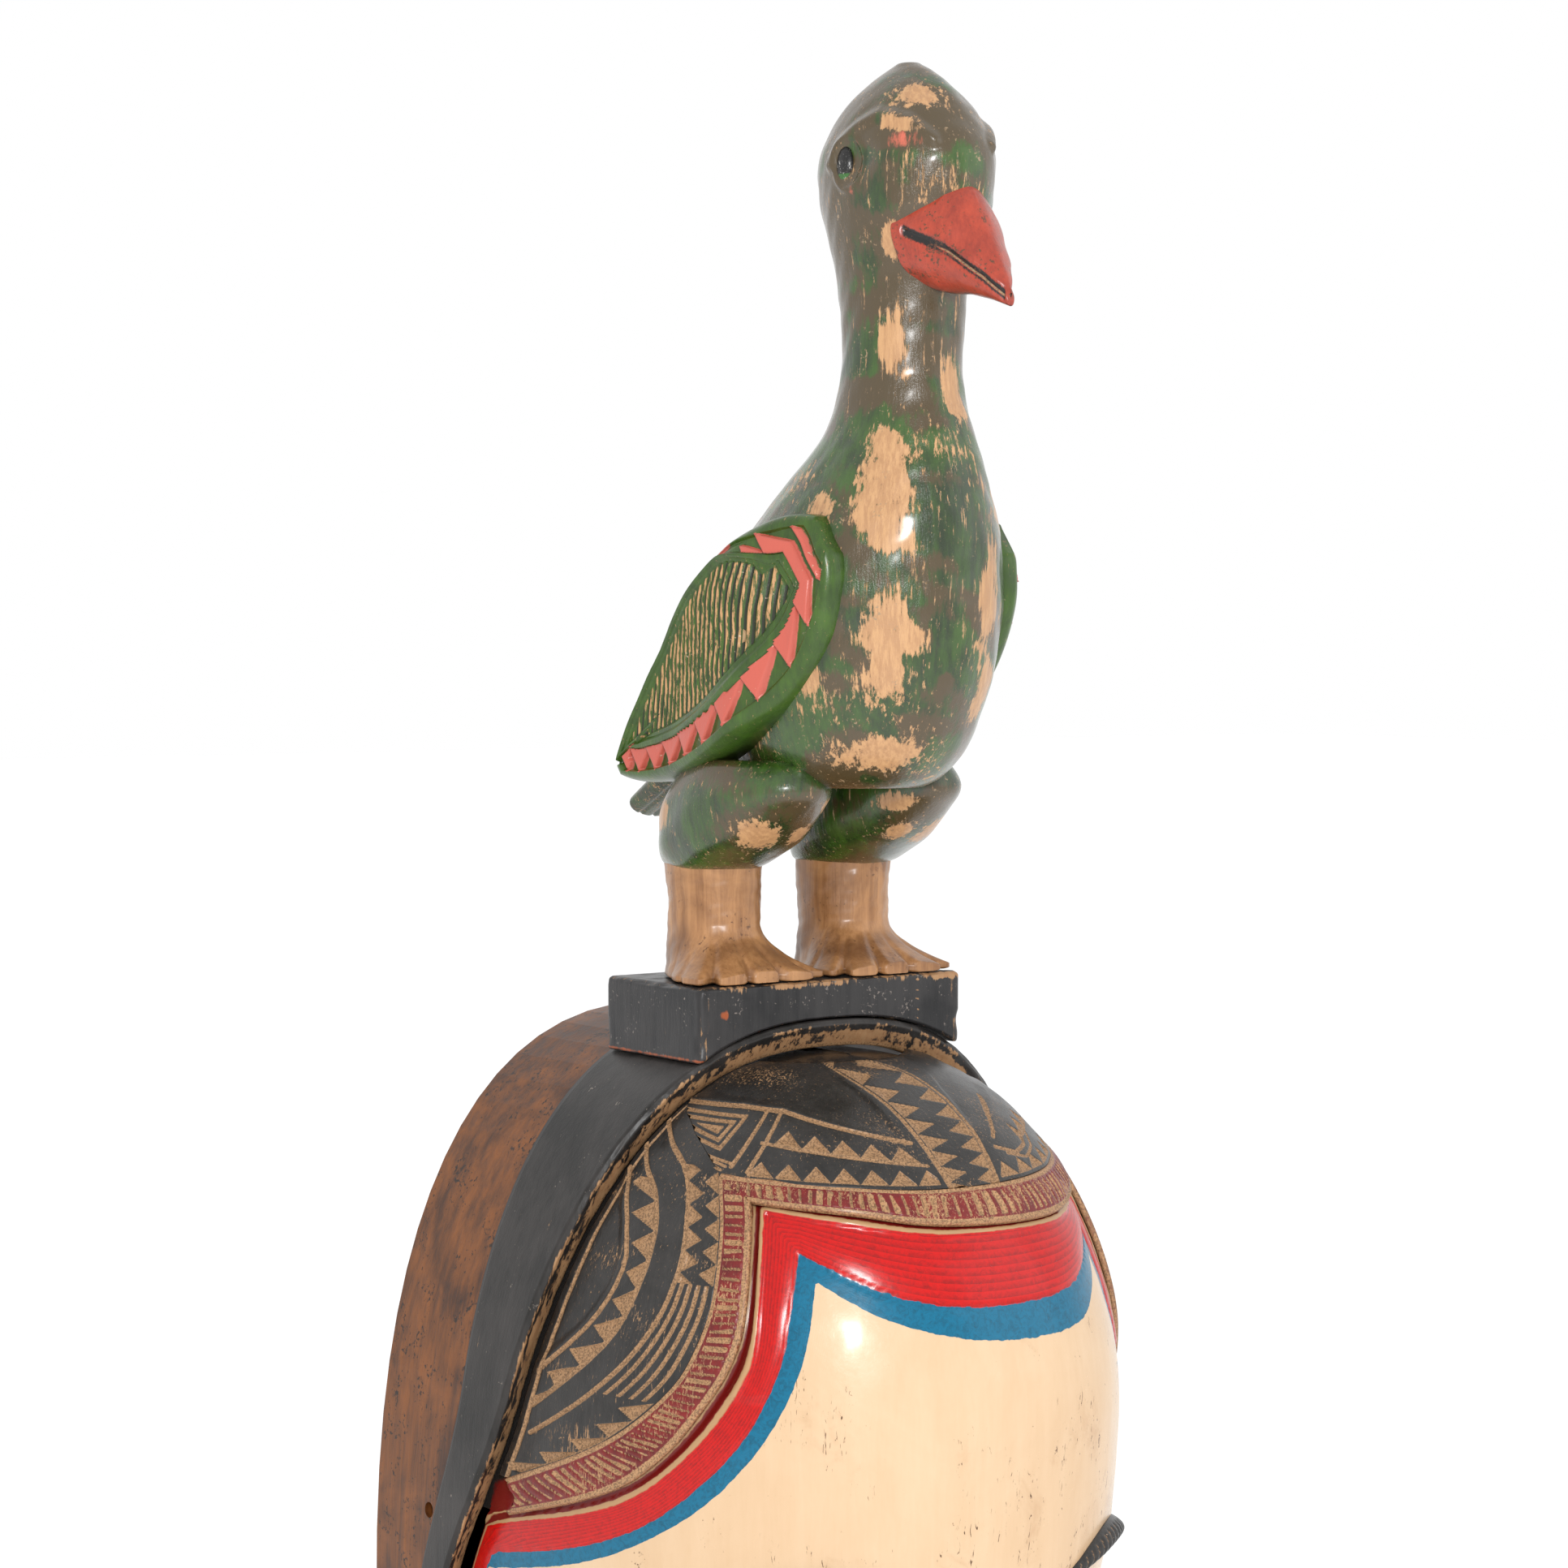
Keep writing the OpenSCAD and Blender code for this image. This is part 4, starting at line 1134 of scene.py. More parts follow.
@dataclass
class Headdress:
    """Carved hair in three panels with a hatched band along its lower edge."""

    form: MaskForm
    bands: Bands
    skin: float = 3.0
    sheet: float = 1.8
    top_gap: float = 1.3
    outer_corner: tuple[float, float] = (149.6, -33.2)
    inner_corner: tuple[float, float] = (142.0, -38.7)
    band_low: tuple[float, float] = (-132.5, -142.0)
    panel_z: tuple[float, float] = (-132.0, -15.5)
    leaf: Table = ((-34, 174.5), (-40.3, 171.6), (-58.3, 165.4), (-76, 167.2), (-94.6, 174.8))
    chain: Table = ((-27, 174), (-32, 170.5), (-41, 163.6), (-52, 160.6), (-68, 160.9),
                    (-85, 164.4), (-107.6, 175.1))
    crescent: Table = ((-20, 173), (-24.4, 168), (-34, 158), (-50.8, 153.9), (-68, 154.2),
                       (-84.4, 158), (-100, 164.8), (-116, 174.1))
    plait_left: Table = ((-38, 94), (-14.2, 99.6), (-3, 114))
    plait_right: Table = ((-38, 83), (-10, 78.5), (-3, 90))
    parting: Table = ((-33.2, 149.6), (-28, 154), (-20, 164), (-15, 171), (-3, 176))

    def edge_a(self, z: Array) -> Array:
        """Side angle on the left where the middle panel ends."""
        return np.minimum(smooth_lookup(z, self.parting), self.form.ridge_angle(z))

    def middle_cuts(self, a: Array, z: Array) -> Carving:
        """Cuts of the middle panel: plait, rows of triangles, frames and grooves."""
        work = Carving(a, z, (1.15, 1.5))
        left, right = smooth_lookup(z, self.plait_left), smooth_lookup(z, self.plait_right)
        across = (left - a) / (left - right)
        in_plait = ((across > 0) & (across < 1)).astype(float)
        for sign, shift in ((across, 0.0), (1 - across, 0.5)):
            work.add(5.4 * teeth(z * 1.5 / 6.6 + shift, (sign - 0.06) / 0.42), 1.1, 0.7, in_plait)
        for rail in (left, right):
            work.add(0.7 - np.abs(a - rail) * 1.05, 0.9)
        b = np.where(a >= 62, a, 180 - a)
        beside = (b > left + 2).astype(float)
        work.line(((171, -14.2), (150, -14.2), (135, -15.1), (99.5, -24.1)), 0.9, beside)
        row = lookup(b, ((98, -30.3), (140, -23.6)))
        work.add(0.6 - np.abs(z - row) * 1.4, 0.8, 0.7, beside * (b < 141))
        work.add(5.2 * teeth((b - 99) / 7.6, (z - row - 0.5) / 4.4), 1.1, 0.7,
                 beside * (b > 99) * (b < 137))
        low = self.bands.middle_z(0, a)
        clear = ((across < -0.15) | (across > 1.15)).astype(float)
        work.add(5.2 * teeth((a - 95) / 6.9, (z - low - 1.1) / 4.6), 1.1, 0.7,
                 clear * (a < 143) * (a > 37))
        work.line(((143, -31.6), (135.6, -14.8)), 0.7, beside)
        work.line(((147.5, -30.5), (140.5, -15)), 0.7, beside)
        work.frames(((171.5, -15.8), (146.5, -16.4), (151.5, -26.4), (172.5, -20.6)), 2.6, 3)
        for turn in range(3):
            work.line(((173 - 2.4 * turn, -21 - 1.6 * turn), (150 - turn, -31.5 + turn)), 0.55,
                      beside)
        bow = (a > 50) * (a < 78) * 1.0
        work.line(((57, -15), (66, -19), (74, -25)), 0.8, bow)
        work.line(((76, -27.6), (69, -30), (62, -28.6), (55, -23)), 0.8, bow)
        work.line(((73, -29.8), (66, -31.8), (58, -29.5), (52, -24.5)), 0.6, bow)
        return work

    def side_cuts(self, a: Array, z: Array) -> Carving:
        """Cuts of a side panel: crescents, toothed curves and grooves."""
        work = Carving(a, z, (1.75, 1.12))
        edge = self.bands.side_a(0, z)
        leaf, chain = smooth_lookup(z, self.leaf), smooth_lookup(z, self.chain)
        bend = smooth_lookup(z, self.crescent)
        for table in (self.leaf, self.chain, self.crescent):
            work.curve(table, 0.85)
        work.add(7.5 * teeth(z / 8.4, (a - chain - 0.2) / np.maximum(leaf - chain - 0.8, 1.5)),
                 1.2, 0.8, ((z < -36) & (z > -106)).astype(float))
        across = (a - edge) / (bend - edge)
        upper = ((z > -64) & (z < -31)).astype(float)
        for sign, shift in ((across, 0.0), (1 - across, 0.5)):
            work.add(5.6 * teeth(z / 6.4 + shift, (sign - 0.05) / 0.46), 1.1, 0.7, upper)
        lower = ((z < -64) & (z > -99)).astype(float)
        ribs = across * 5
        work.add(0.75 - np.abs(ribs - np.round(ribs)) * (bend - edge) * 0.35, 0.9, 0.7,
                 lower * (across > 0.1) * (across < 0.95))
        feet = ((z <= -99) & (z > -129)).astype(float)
        work.add(6 * teeth(z / 6.2, (a - edge - 0.5) / 5.2), 1.1, 0.7, feet)
        work.add(0.7 - np.abs(a - self.form.ridge_angle(z) + 1.6) * 1.75, 0.8)
        return work

    def carved(self, a: Array, z: Array, work: Carving, hollow: Array) -> Surface:
        """Surface of a panel with its cuts.

        Args:
            a: Side angles.
            z: Heights.
            work: The cuts.
            hollow: How far plain fields are dished, 0 to 1.

        Returns:
            The surface.
        """
        raw = self.form.point(a, z, self.skin)
        relief = self.skin + 0.16 * wobble(raw, 14, 0.3) - 0.8 * hollow - 0.85 * work.depth
        near = np.clip(work.bare * 2, 0, 1) * (1 - work.bare)
        wear = 0.12 * near + 0.1 * np.maximum(wobble(raw, 26, 3.3), 0)
        return Surface(self.form.point(a, z, relief), {"cut": work.bare, "wear": wear})

    def middle_panel(self, u: Array, v: Array) -> Surface:
        """Middle panel from the left parting to the right one."""
        top = self.form.top_z - self.top_gap
        a = 180 - 180 * u
        z = top * v + (1 - v) * self.bands.middle_z(0, a)
        for _ in range(4):
            edge = self.edge_a(z)
            a = edge + (180 - 2 * edge) * u
            z = top * v + (1 - v) * (self.bands.middle_z(0, a) + 0.15)
        b = np.maximum(a, 180 - a)
        line = lookup(b, ((99, -24.1), (135, -15.1), (171, -14.2)))
        hollow = ease((z - line - 1) / 2) * ease((b - smooth_lookup(z, self.plait_left) - 3) / 3)
        return self.carved(a, z, self.middle_cuts(a, z), hollow)

    def side_panel(self, u: Array, v: Array) -> Surface:
        """Side panel on the left, from the border's ridge to the hatched band."""
        low, high = self.panel_z
        z = low + (high - low) * v
        inner = np.maximum(self.bands.side_a(0, z) + 0.15, np.where(
            z > self.outer_corner[1], smooth_lookup(z, self.parting) + 0.1, 0))
        outer = np.maximum(self.form.ridge_angle(z), inner + 0.05)
        a = outer + (inner - outer) * u
        leaf = smooth_lookup(z, self.leaf)
        bend, chain = smooth_lookup(z, self.crescent), smooth_lookup(z, self.chain)
        hollow = ease((a - leaf - 0.8) / 2) + bell((a - (bend + chain) / 2), 4.5) * 0.5
        return self.carved(a, z, self.side_cuts(a, z), hollow)

    def hatched(self, a: Array, z: Array, along: Array, across: Array) -> Surface:
        """Surface of the hatched band: radial strokes between two border lines.

        Args:
            a: Side angles.
            z: Heights.
            along: Length along the band.
            across: Share across it, 0 at the hair.

        Returns:
            The surface.
        """
        raw = self.form.point(a, z, self.skin)
        step = along / 3.0 + 0.22 * wobble(raw, 19, 1.2) + 0.12 * np.sin(along * 1.7)
        stroke = 0.62 - np.abs(step - np.floor(step) - 0.5) * 3.0
        stroke = np.minimum(stroke, (0.33 - np.abs(across - 0.5)) * 9)
        rails = 0.5 - np.minimum(np.abs(across - 0.05), np.abs(across - 0.95)) * 9
        reach = np.maximum(stroke, rails)
        bare = np.clip(0.5 + reach / 0.9, 0, 1)
        relief = self.skin + 0.5 + 0.3 * bell(across - 0.5, 0.6) - 0.9 * np.clip(reach * 2, 0, 1)
        wear = 0.1 + 0.14 * wobble(raw, 24, 0.8)
        return Surface(self.form.point(a, z, relief), {"cut": bare, "wear": wear})

    def hatched_middle(self, u: Array, v: Array) -> Surface:
        """Middle part of the hatched band."""
        across = 1 - v
        start = self.outer_corner[0] + (self.inner_corner[0] - self.outer_corner[0]) * across
        a = start + (180 - 2 * start) * u
        z = self.bands.middle_z(0, a) * v + self.bands.middle_z(1, a) * across
        return self.hatched(a, z, a * 1.28, across)

    def hatched_side(self, u: Array, v: Array) -> Surface:
        """Side part of the hatched band, on the left."""
        high = self.outer_corner[1] + (self.inner_corner[1] - self.outer_corner[1]) * u
        low = self.band_low[0] + (self.band_low[1] - self.band_low[0]) * u
        z = low + (high - low) * v
        a = self.bands.side_a(0, z) * (1 - u) + self.bands.side_a(1, z) * u
        a = np.minimum(a, self.form.ridge_angle(z))
        along = z * 1.2 - 0.9 * (a - 140) * ease((-90 - z) / 30)
        return self.hatched(a, z, along, u)

    def build(self, effects: Effects) -> None:
        """Makes the three panels and the band."""
        carved, slot = FINISHES["carved"].build(effects), "carved_black_hair"
        finish_mesh("carved_hair_center", grid(440, 96, self.middle_panel), carved,
                    "hair_center", self.sheet)
        finish_pair("carved_hair", "hair", lambda flip: grid(110, 300, self.side_panel, None, flip),
                    carved, self.sheet)
        bm = grid(520, 14, self.hatched_middle)
        for flip in (False, True):
            grid(14, 330, self.hatched_side, bm, flip)
        finish_mesh("carved_hatched_band", bm, FINISHES["band"].build(effects),
                    "hatched_band", self.sheet)


@dataclass
class FaceFeatures:
    """Calm, plain features on equal thirds: brows, closed eyelids, nose and lips."""

    form: MaskForm
    root: float = -0.6
    sheet: float = 0.8

    def strip(self, u: Array, v: Array, ends: tuple[float, float], z0: float, rise: float,
              half: float, thick: float, lean: float = 0.0) -> tuple[Array, Array, Array]:
        """Arched strip on the face that swells to its middle.

        Args:
            u: Share along it from its left end.
            v: Share across it from its lower edge.
            ends: Side angles of its left and right ends.
            z0: Height of its ends.
            rise: How far its middle rises.
            half: Half of its width at the middle.
            thick: Its thickness at the middle.
            lean: How far the left end lies below the right one.

        Returns:
            Side angle, height and lift of each point.
        """
        swell = 0.2 + 0.8 * np.sin(math.pi * u) ** 0.7
        a = ends[0] + (ends[1] - ends[0]) * u
        z = z0 + rise * np.sin(math.pi * u) + lean * (u - 0.5) + half * swell * (2 * v - 1)
        round_ends = np.clip(np.minimum(u, 1 - u) * 18, 0, 1) ** 0.5
        lift = self.root + (thick + 0.6) * swell * np.sin(math.pi * v) ** 0.8 * round_ends
        return a, z, lift

    def plain(self, a: Array, z: Array, lift: Array, line: Array | float = 0.0) -> Surface:
        """Surface in the face's own paint, with painted shade along its `line`."""
        return Surface(self.form.point(a, z, lift),
                       {"zone": 6 + 0 * a, "wear": 0 * a - 0.05, "dirt": 0.12 + 0 * a,
                        "line": line + 0 * a})

    def brow(self, u: Array, v: Array) -> Surface:
        """Left brow with slanting cuts."""
        a, z, lift = self.strip(u, v, (142, 101), self.form.brow_z - 8, 11, 4.6, 4.4, 4)
        slant = u * 24 + v * 1.2
        cut = bell(slant - np.round(slant), 0.32) * ease((0.42 - np.abs(v - 0.5)) / 0.1)
        return Surface(self.form.point(a, z, lift - 0.7 * cut),
                       {"cut": 0.62 * cut})

    def eyelid(self, u: Array, v: Array) -> Surface:
        """Left eyelid, closed along a gentle line."""
        a, z, lift = self.strip(u, v, (137, 103), self.form.eye_z, 0, 0.16 * self.form.third, 6.4)
        seam = v - 0.3 + 0.16 * np.sin(math.pi * u)
        # Painted shade: the closed eye's seam line is darkened through `line`.
        line = bell(seam, 0.05) * ease(np.minimum(u, 1 - u) / 0.06)
        fold = bell(v - 0.84, 0.04) * ease(np.minimum(u, 1 - u) / 0.1)
        return self.plain(a, z, lift - 0.9 * line - 0.4 * fold, line)

    def nose_at(self, u: Array, v: Array) -> Surface:
        """Nose from its base to the bridge."""
        f = self.form
        rows = smooth_rows([(f.nose_z - 1, 8, 1.5), (f.nose_z + 1.5, 13, 11),
                            (f.nose_z + 8, 14, 17), (f.nose_z + 20, 9, 13.5),
                            (f.brow_z - 0.4 * f.third, 7, 7.6), (f.brow_z - 6, 6, 1.5)], 8)
        z, half, out = along_rows(v, rows)
        t = 2 * u - 1
        wing = bell(z - f.nose_z - 7, 9) * bell(np.abs(t) - 0.72, 0.3)
        lift = self.root + (out + 0.5) * np.clip(1 - t * t, 0, 1) ** 0.6 + 1.8 * wing
        width = f.width(z, f.face_inset)
        a = np.degrees(np.arccos(np.clip(spow(half * t / width, f.face_power / 2), -1, 1)))
        # Painted shade: the nostrils are darkened through `line`.
        nostril = bell(z - f.nose_z - 0.8, 2) * bell(np.abs(t) - 0.5, 0.2)
        return self.plain(a, z, lift - 1.5 * nostril, nostril)

    def lip(self, u: Array, v: Array, upper: bool) -> Surface:
        """Upper or lower lip."""
        rise, z0, half, thick = ((1.5, 4.0, 3.4, 9.0) if upper else (-1.5, -5.0, 3.6, 8.2))
        a, z, lift = self.strip(u, v, (104, 76), self.form.mouth_z + z0, rise, half, thick)
        bow = bell(u - 0.5, 0.12) * (1.2 if upper else 0.0)
        return Surface(self.form.point(a, z - bow * v, lift - 0.5 * bow),
                       {"wear": 0.06 + 0 * a})

    def build(self, effects: Effects) -> None:
        """Makes the features."""
        face, slot = bpy.data.materials[FINISHES["face"].name], "cream_painted_wood"
        finish_pair("painted_brow", "brow", lambda flip: grid(120, 34, self.brow, None, flip),
                    FINISHES["brow"].build(effects), self.sheet)
        finish_pair("closed_eyelid", "eyelid", lambda flip: grid(120, 34, self.eyelid, None, flip),
                    face, self.sheet)
        finish_mesh("carved_nose", grid(60, 110, self.nose_at), face, "nose", self.sheet)
        bm = grid(110, 24, lambda u, v: self.lip(u, v, True))
        grid(110, 24, lambda u, v: self.lip(u, v, False), bm)
        finish_mesh("painted_lips", bm, FINISHES["lips"].build(effects), "lips",
                    self.sheet)


# ---- Crest ----


@dataclass
class CrestBlock:
    """Black block that the bird stands on, with knocked edges."""

    form: MaskForm
    width: float = 104.0
    depth: float = 54.0
    rise: float = 13.0
    round_edge: float = 1.8
    sink: float = 14.0

    @property
    def top(self) -> float:
        """Height of the block's top."""
        return self.form.crown_z + self.rise

    @property
    def middle(self) -> float:
        """Distance from the wall to the block's middle."""
        return self.form.rim_depth + self.form.border_depth - 1 - self.depth / 2

    def shape(self, bm: bmesh.types.BMesh) -> Surface:
        """Places a finely cut cube's corners on the block's surface."""
        cube = np.array([v.co[:] for v in bm.verts])
        size = np.array([self.width, self.depth, self.rise + self.sink])
        box = cube * size
        core = np.clip(box, -size / 2 + self.round_edge, size / 2 - self.round_edge)
        away = box - core
        length = np.maximum(np.linalg.norm(away, axis=1, keepdims=True), 1e-6)
        box = core + away / length * np.minimum(length, self.round_edge)
        x, y = box[:, 0], box[:, 1] - self.middle
        arch = self.form.level + (self.form.up + 0.5) * (
            1 - (np.abs(x) / (self.form.half_w + 0.5)) ** self.form.crown_power) ** (
                1 / self.form.crown_power)
        share = box[:, 2] / size[2] + 0.5
        low = np.maximum(arch, self.form.crown_z - self.sink)
        points = np.stack([x, y, low + (self.top - low) * share], axis=1)
        edges = np.sort(np.abs(cube), axis=1)[:, 1]
        near = ease((edges - 0.43) / 0.07)
        knock = np.maximum(0, wobble(points, 13, 0.6)) * near * 0.9
        points += (np.array([0, -self.middle, 8]) - points) / 60 * knock[:, None]
        points[:, 2] -= 0.25 * np.maximum(0, wobble(points, 9, 2.0)) * ease((share - 0.9) / 0.1)
        front = ease((-cube[:, 1] - 0.45) / 0.04)
        top_edge = bell(points[:, 2] - self.top + 1.2, 1.9) * front
        chip = np.maximum(bell(np.hypot(x + 43, (points[:, 2] - 12) * 0.7), 2.4),
                          bell(np.hypot(x + 29, (points[:, 2] - 5) * 0.8), 1.8)) * front
        crack = bell(x - 34 - 0.8 * np.sin(points[:, 2]), 0.55) * front
        seam = bell(points[:, 2] + 2, 1.2) * ease((-cube[:, 0] - 0.45) / 0.04)
        wear = 0.5 * top_edge * (0.7 + 0.5 * wobble(points, 21, 1.4)) + 0.16 * near + 0.4 * crack
        return Surface(points, {"wear": wear, "tint": np.maximum(chip, 0.6 * seam)})

    def build(self, effects: Effects) -> None:
        """Makes the piece."""
        bm = bmesh.new()
        bmesh.ops.create_cube(bm, size=1.0)
        bmesh.ops.subdivide_edges(bm, edges=bm.edges, cuts=63, use_grid_fill=True)
        place_points(bm, 0, self.shape(bm))
        finish_mesh("knocked_crest_block", bm, FINISHES["block"].build(effects),
                    "crest_block")


def ring_share(share: Array, cap: float) -> tuple[Array, Array]:
    """Place along a closed shape and how far its ring is open, round at both ends.

    Args:
        share: Share from pole to pole.
        cap: Share taken by each end.

    Returns:
        Place along the shape and the opening, both 0 to 1.
    """
    end = np.minimum(share, 1 - share) / cap
    opening = np.sqrt(np.clip(1 - (1 - np.clip(end, 0, 1)) ** 2, 0, 1))
    along = np.clip((share - cap * 0.6) / (1 - 1.2 * cap), 0, 1)
    return along, opening


def level_rings(angle: Array, share: Array, rows: Rows, cap: float) -> tuple[Array, Array]:
    """Closed shape through level ellipses.

    Args:
        angle: Angle around, in radians.
        share: Share from bottom to top.
        rows: Height, distance from the wall, half-width and half-depth of each ellipse.
        cap: Share taken by each rounded end.

    Returns:
        Points in millimetres and their outward directions.
    """
    table = smooth_rows(list(rows), 8)
    along, opening = ring_share(share, cap)
    z = table[0, 0] + (table[-1, 0] - table[0, 0]) * along
    far, half_w, half_d = (np.interp(z, table[:, 0], table[:, k]) for k in (1, 2, 3))
    c, s = np.cos(angle), np.sin(angle)
    points = np.stack([half_w * opening * c, -far + half_d * opening * s, z], axis=1)
    out = np.stack([c * half_d, s * half_w, 0 * z], axis=1)
    return points, out / np.maximum(np.linalg.norm(out, axis=1, keepdims=True), 1e-6)


def patch_wear(points: Array, patches: Rows) -> Array:
    """Rubbed places on the paint.

    Args:
        points: Points of the surface.
        patches: Centre x, y and z, then level and upright half-size of each place.

    Returns:
        Wear at each point.
    """
    worn = np.zeros(len(points))
    bend = 0.26 * wobble(points, 17, 6.1) + 0.14 * wobble(points, 7, 2.3)
    for x, y, z, level, upright in patches:
        d = np.hypot(np.hypot(points[:, 0] - x, points[:, 1] - y) / level,
                     (points[:, 2] - z) / upright)
        worn = np.maximum(worn, ease((1.45 - d - bend) / 1.1))
    return 0.5 * worn


@dataclass
class Bird:
    """Standing bird: body with head, beak, eyes, wings, tail, thighs and legs."""

    stand_z: float
    stand_y: float
    leg_gap: float = 52.0
    leg_h: float = 37.0
    thigh_h: float = 25.0
    body_h: float = 224.0
    chest: float = 40.0
    wing_len: float = 132.0
    wing_fall: float = 36.0
    shank: float = 15.0
    wing_root: float = 8.0
    wing_y: float = 146.0
    wing_rise: float = 81.0
    wing_upper: float = 21.0
    wing_lower: float = 34.0
    wing_thick: float = 7.4
    groove_pitch: float = 2.9
    beak_root: float = 156.4
    beak_len: float = 35.2
    bead_at: tuple[float, float, float] = (-22.4, -139.4, 274.6)
    bead_size: tuple[float, float, float] = (2.2, 3.6, 5.9)
    toe_side: float = 24.8
    toe_front: float = 26.6
    body_rows: Rows = (
        (0, 110, .6, 31), (.03, 112, .76, 37), (.07, 114, .87, 42), (.14, 115, .96, 48),
        (.22, 116.5, 1, 50.5), (.29, 118, 1, 50.5), (.39, 127, .8, 42), (.48, 136, .56, 28),
        (.55, 138.5, .475, 21), (.63, 139.5, .45, 19.7), (.69, 139, .475, 21.5),
        (.755, 140, .53, 26.5), (.81, 141, .59, 31), (.875, 141, .605, 31.5),
        (.93, 141, .47, 24.5), (.975, 141.5, .26, 13), (1, 142, .06, 3))
    rubbed: Rows = (
        (-21, -157, 174, 10, 21), (-24, -157, 182, 9, 17), (-21, -158.5, 126, 9, 17),
        (-17, -149, 94, 14, 5.5), (4, -159, 206, 4.5, 16), (-34, -138, 163, 6, 12),
        (-37, -138, 118, 5, 6), (-13, -152, 222, 5, 10), (14, -166, 140, 5.5, 24),
        (18, -158, 112, 6, 13), (-8, -157, 294, 7, 5), (-15, -157, 284, 8, 4.5),
        (-16, -156, 252, 4.5, 7), (24, -150, 180, 9, 16), (36, -122, 140, 9, 13),
        (0, -84, 150, 11, 15), (-32, -92, 172, 8, 12), (10, -120, 232, 6, 12),
        (14, -118, 200, 8, 12), (0, -112, 290, 8, 7))
    coral_spots: Rows = (
        (-17, -161, 280, 6.5, 4.4), (17, -161, 280, 6, 4), (-23.8, -144, 266, 1.6, 2.6),
        (-17, -155, 212, 3, 8))

    @property
    def leg_top(self) -> float:
        """Height where legs meet thighs."""
        return self.stand_z + self.leg_h

    @property
    def thigh_top(self) -> float:
        """Height where thighs meet the body."""
        return self.leg_top + self.thigh_h

    @property
    def rows(self) -> Rows:
        """The body's level ellipses in millimetres."""
        return tuple((self.thigh_top + 0.4 + (self.body_h - 0.4) * s, far, self.chest * w, d)
                     for s, far, w, d in self.body_rows)

    def body_at(self, z: Array) -> tuple[Array, Array, Array]:
        """Distance from the wall, half-width and half-depth of the body at a height."""
        table = smooth_rows(list(self.rows), 8)
        return tuple(np.interp(z, table[:, 0], table[:, k]) for k in (1, 2, 3))

    def body_surface(self, angle: Array, share: Array) -> Surface:
        """Body with brow ridges, eye sockets and worn paint."""
        points, out = level_rings(angle, share, self.rows, 0.035)
        z = points[:, 2]
        around = np.degrees(np.arctan2(np.sin(angle), -np.abs(np.cos(angle)))) % 360
        p = around * 0.5
        ridge = ((84, 275), (87, 281), (94, 286), (102, 289), (113, 286.5), (121, 280))
        lift = 1.7 * bell(line_reach(p, z, ridge), 3.6)
        socket = np.hypot((p - 94) / 10, (z - 276.5) / 9)
        lift -= 2.6 * ease(1.15 - socket)
        eye_rim = np.abs(np.hypot((p - 91) / 5.4, (z - 274.5) / 8) - 1)
        lift += 0.7 * bell(eye_rim, 0.22)
        lift += 0.9 * bell(np.hypot((p - 106) / 11, (z - 262) / 9), 1)
        crest = bell(points[:, 0], 7) * ease((z - 288) / 10) * 1.2
        shoulder = np.hypot((around - 215) * 0.75 / 12, (z - 150) / 32)
        lift += 1.2 * bell(shoulder, 1) + crest + 0.35 * wobble(points, 30, 0.5)
        lift += 0.12 * wobble(points, 9, 1.9)
        points = points + out * (lift * ease((share - 0.01) / 0.05))[:, None]
        coral = 1.2 * patch_wear(points, self.coral_spots)
        rim_front = 0.5 * bell(eye_rim, 0.12) * ease((p - 91) / 3)
        neck = 0.42 * ease((z - 190) / 26) + 0.3 + 0.34 * wobble(points, 30, 2.7)
        neck += 0.2 * wobble(points, 11, 5.2)
        # Painted shade: `shade` lays olive into the socket under the brow ridge and keeps its paint
        # from wearing.
        shade = bell(np.hypot((p - 104) / 12, (z - 281) / 5), 1)
        knots = patch_wear(points, ((-2.7, -163, 116, 4, 4), (-12, -164, 138, 5, 6)))
        # The olive tint also grows up the neck and head and towards the bottom of the body.
        return Surface(points, {
            "wear": (np.maximum(patch_wear(points, self.rubbed), 0.1 * wobble(points, 30, 4.4))
                     - 0.5 * shade - 0.3 * knots),
            "tint": neck + 0.5 * shade + 1.1 * knots + 0.3 * ease((112 - z) / 20),
            "coral": np.maximum(coral, rim_front)})

    def beak_surface(self, angle: Array, share: Array) -> Surface:
        """Beak with a mouth slit on both sides."""
        along, opening = ring_share(share, 0.03)
        y = self.beak_root + self.beak_len * along
        top = lookup(along, ((0, 271), (.38, 269), (.5, 264.5), (.62, 257.5), (.76, 249),
                             (.9, 240), (1, 233)))
        low = lookup(along, ((0, 236.5), (.25, 234.5), (.5, 233.6), (.8, 231), (1, 228.6)))
        half = lookup(along, ((0, 18.5), (.25, 15.8), (.5, 12), (.75, 7.4), (.92, 3.6), (1, 1.4)))
        s, c = np.sin(angle), np.cos(angle)
        x = half * c * (1 - 0.3 * np.maximum(s, 0) ** 2) * opening
        mid, tall = (top + low) / 2, (top - low) / 2
        z = mid + tall * spow(s, 1.15) * opening
        slit_z = lookup(along, ((0, 254), (.12, 253), (.5, 246.5), (.8, 238), (1, 231)))
        near = z - slit_z
        reach = ease((along - 0.09) / 0.04) * ease((0.985 - along) / 0.03) * (np.abs(c) > 0.25)
        slit = vee(near, 2.8) * reach
        x -= np.sign(c) * np.minimum(1.6 * slit, np.abs(x) * 0.5)
        points = np.stack([x, -y, z], axis=1)
        x += np.sign(c) * 0.25 * wobble(points, 12, 0.7)
        points[:, 0] = x
        black = bell(near, 3.4) * reach
        vein = bell(near + 0.5, 0.7) * reach * ease((along - 0.3) / 0.2)
        # Painted shade: the beak's underside is blended towards the black second paint.
        under = ease((low + 2.2 - z) / 2.5)
        return Surface(points, {"tint": np.maximum(black, 0.6 * under) - vein, "cut": 0.8 * vein,
                                "wear": 0.04 + 0.1 * ease((along - 0.9) / 0.1)})

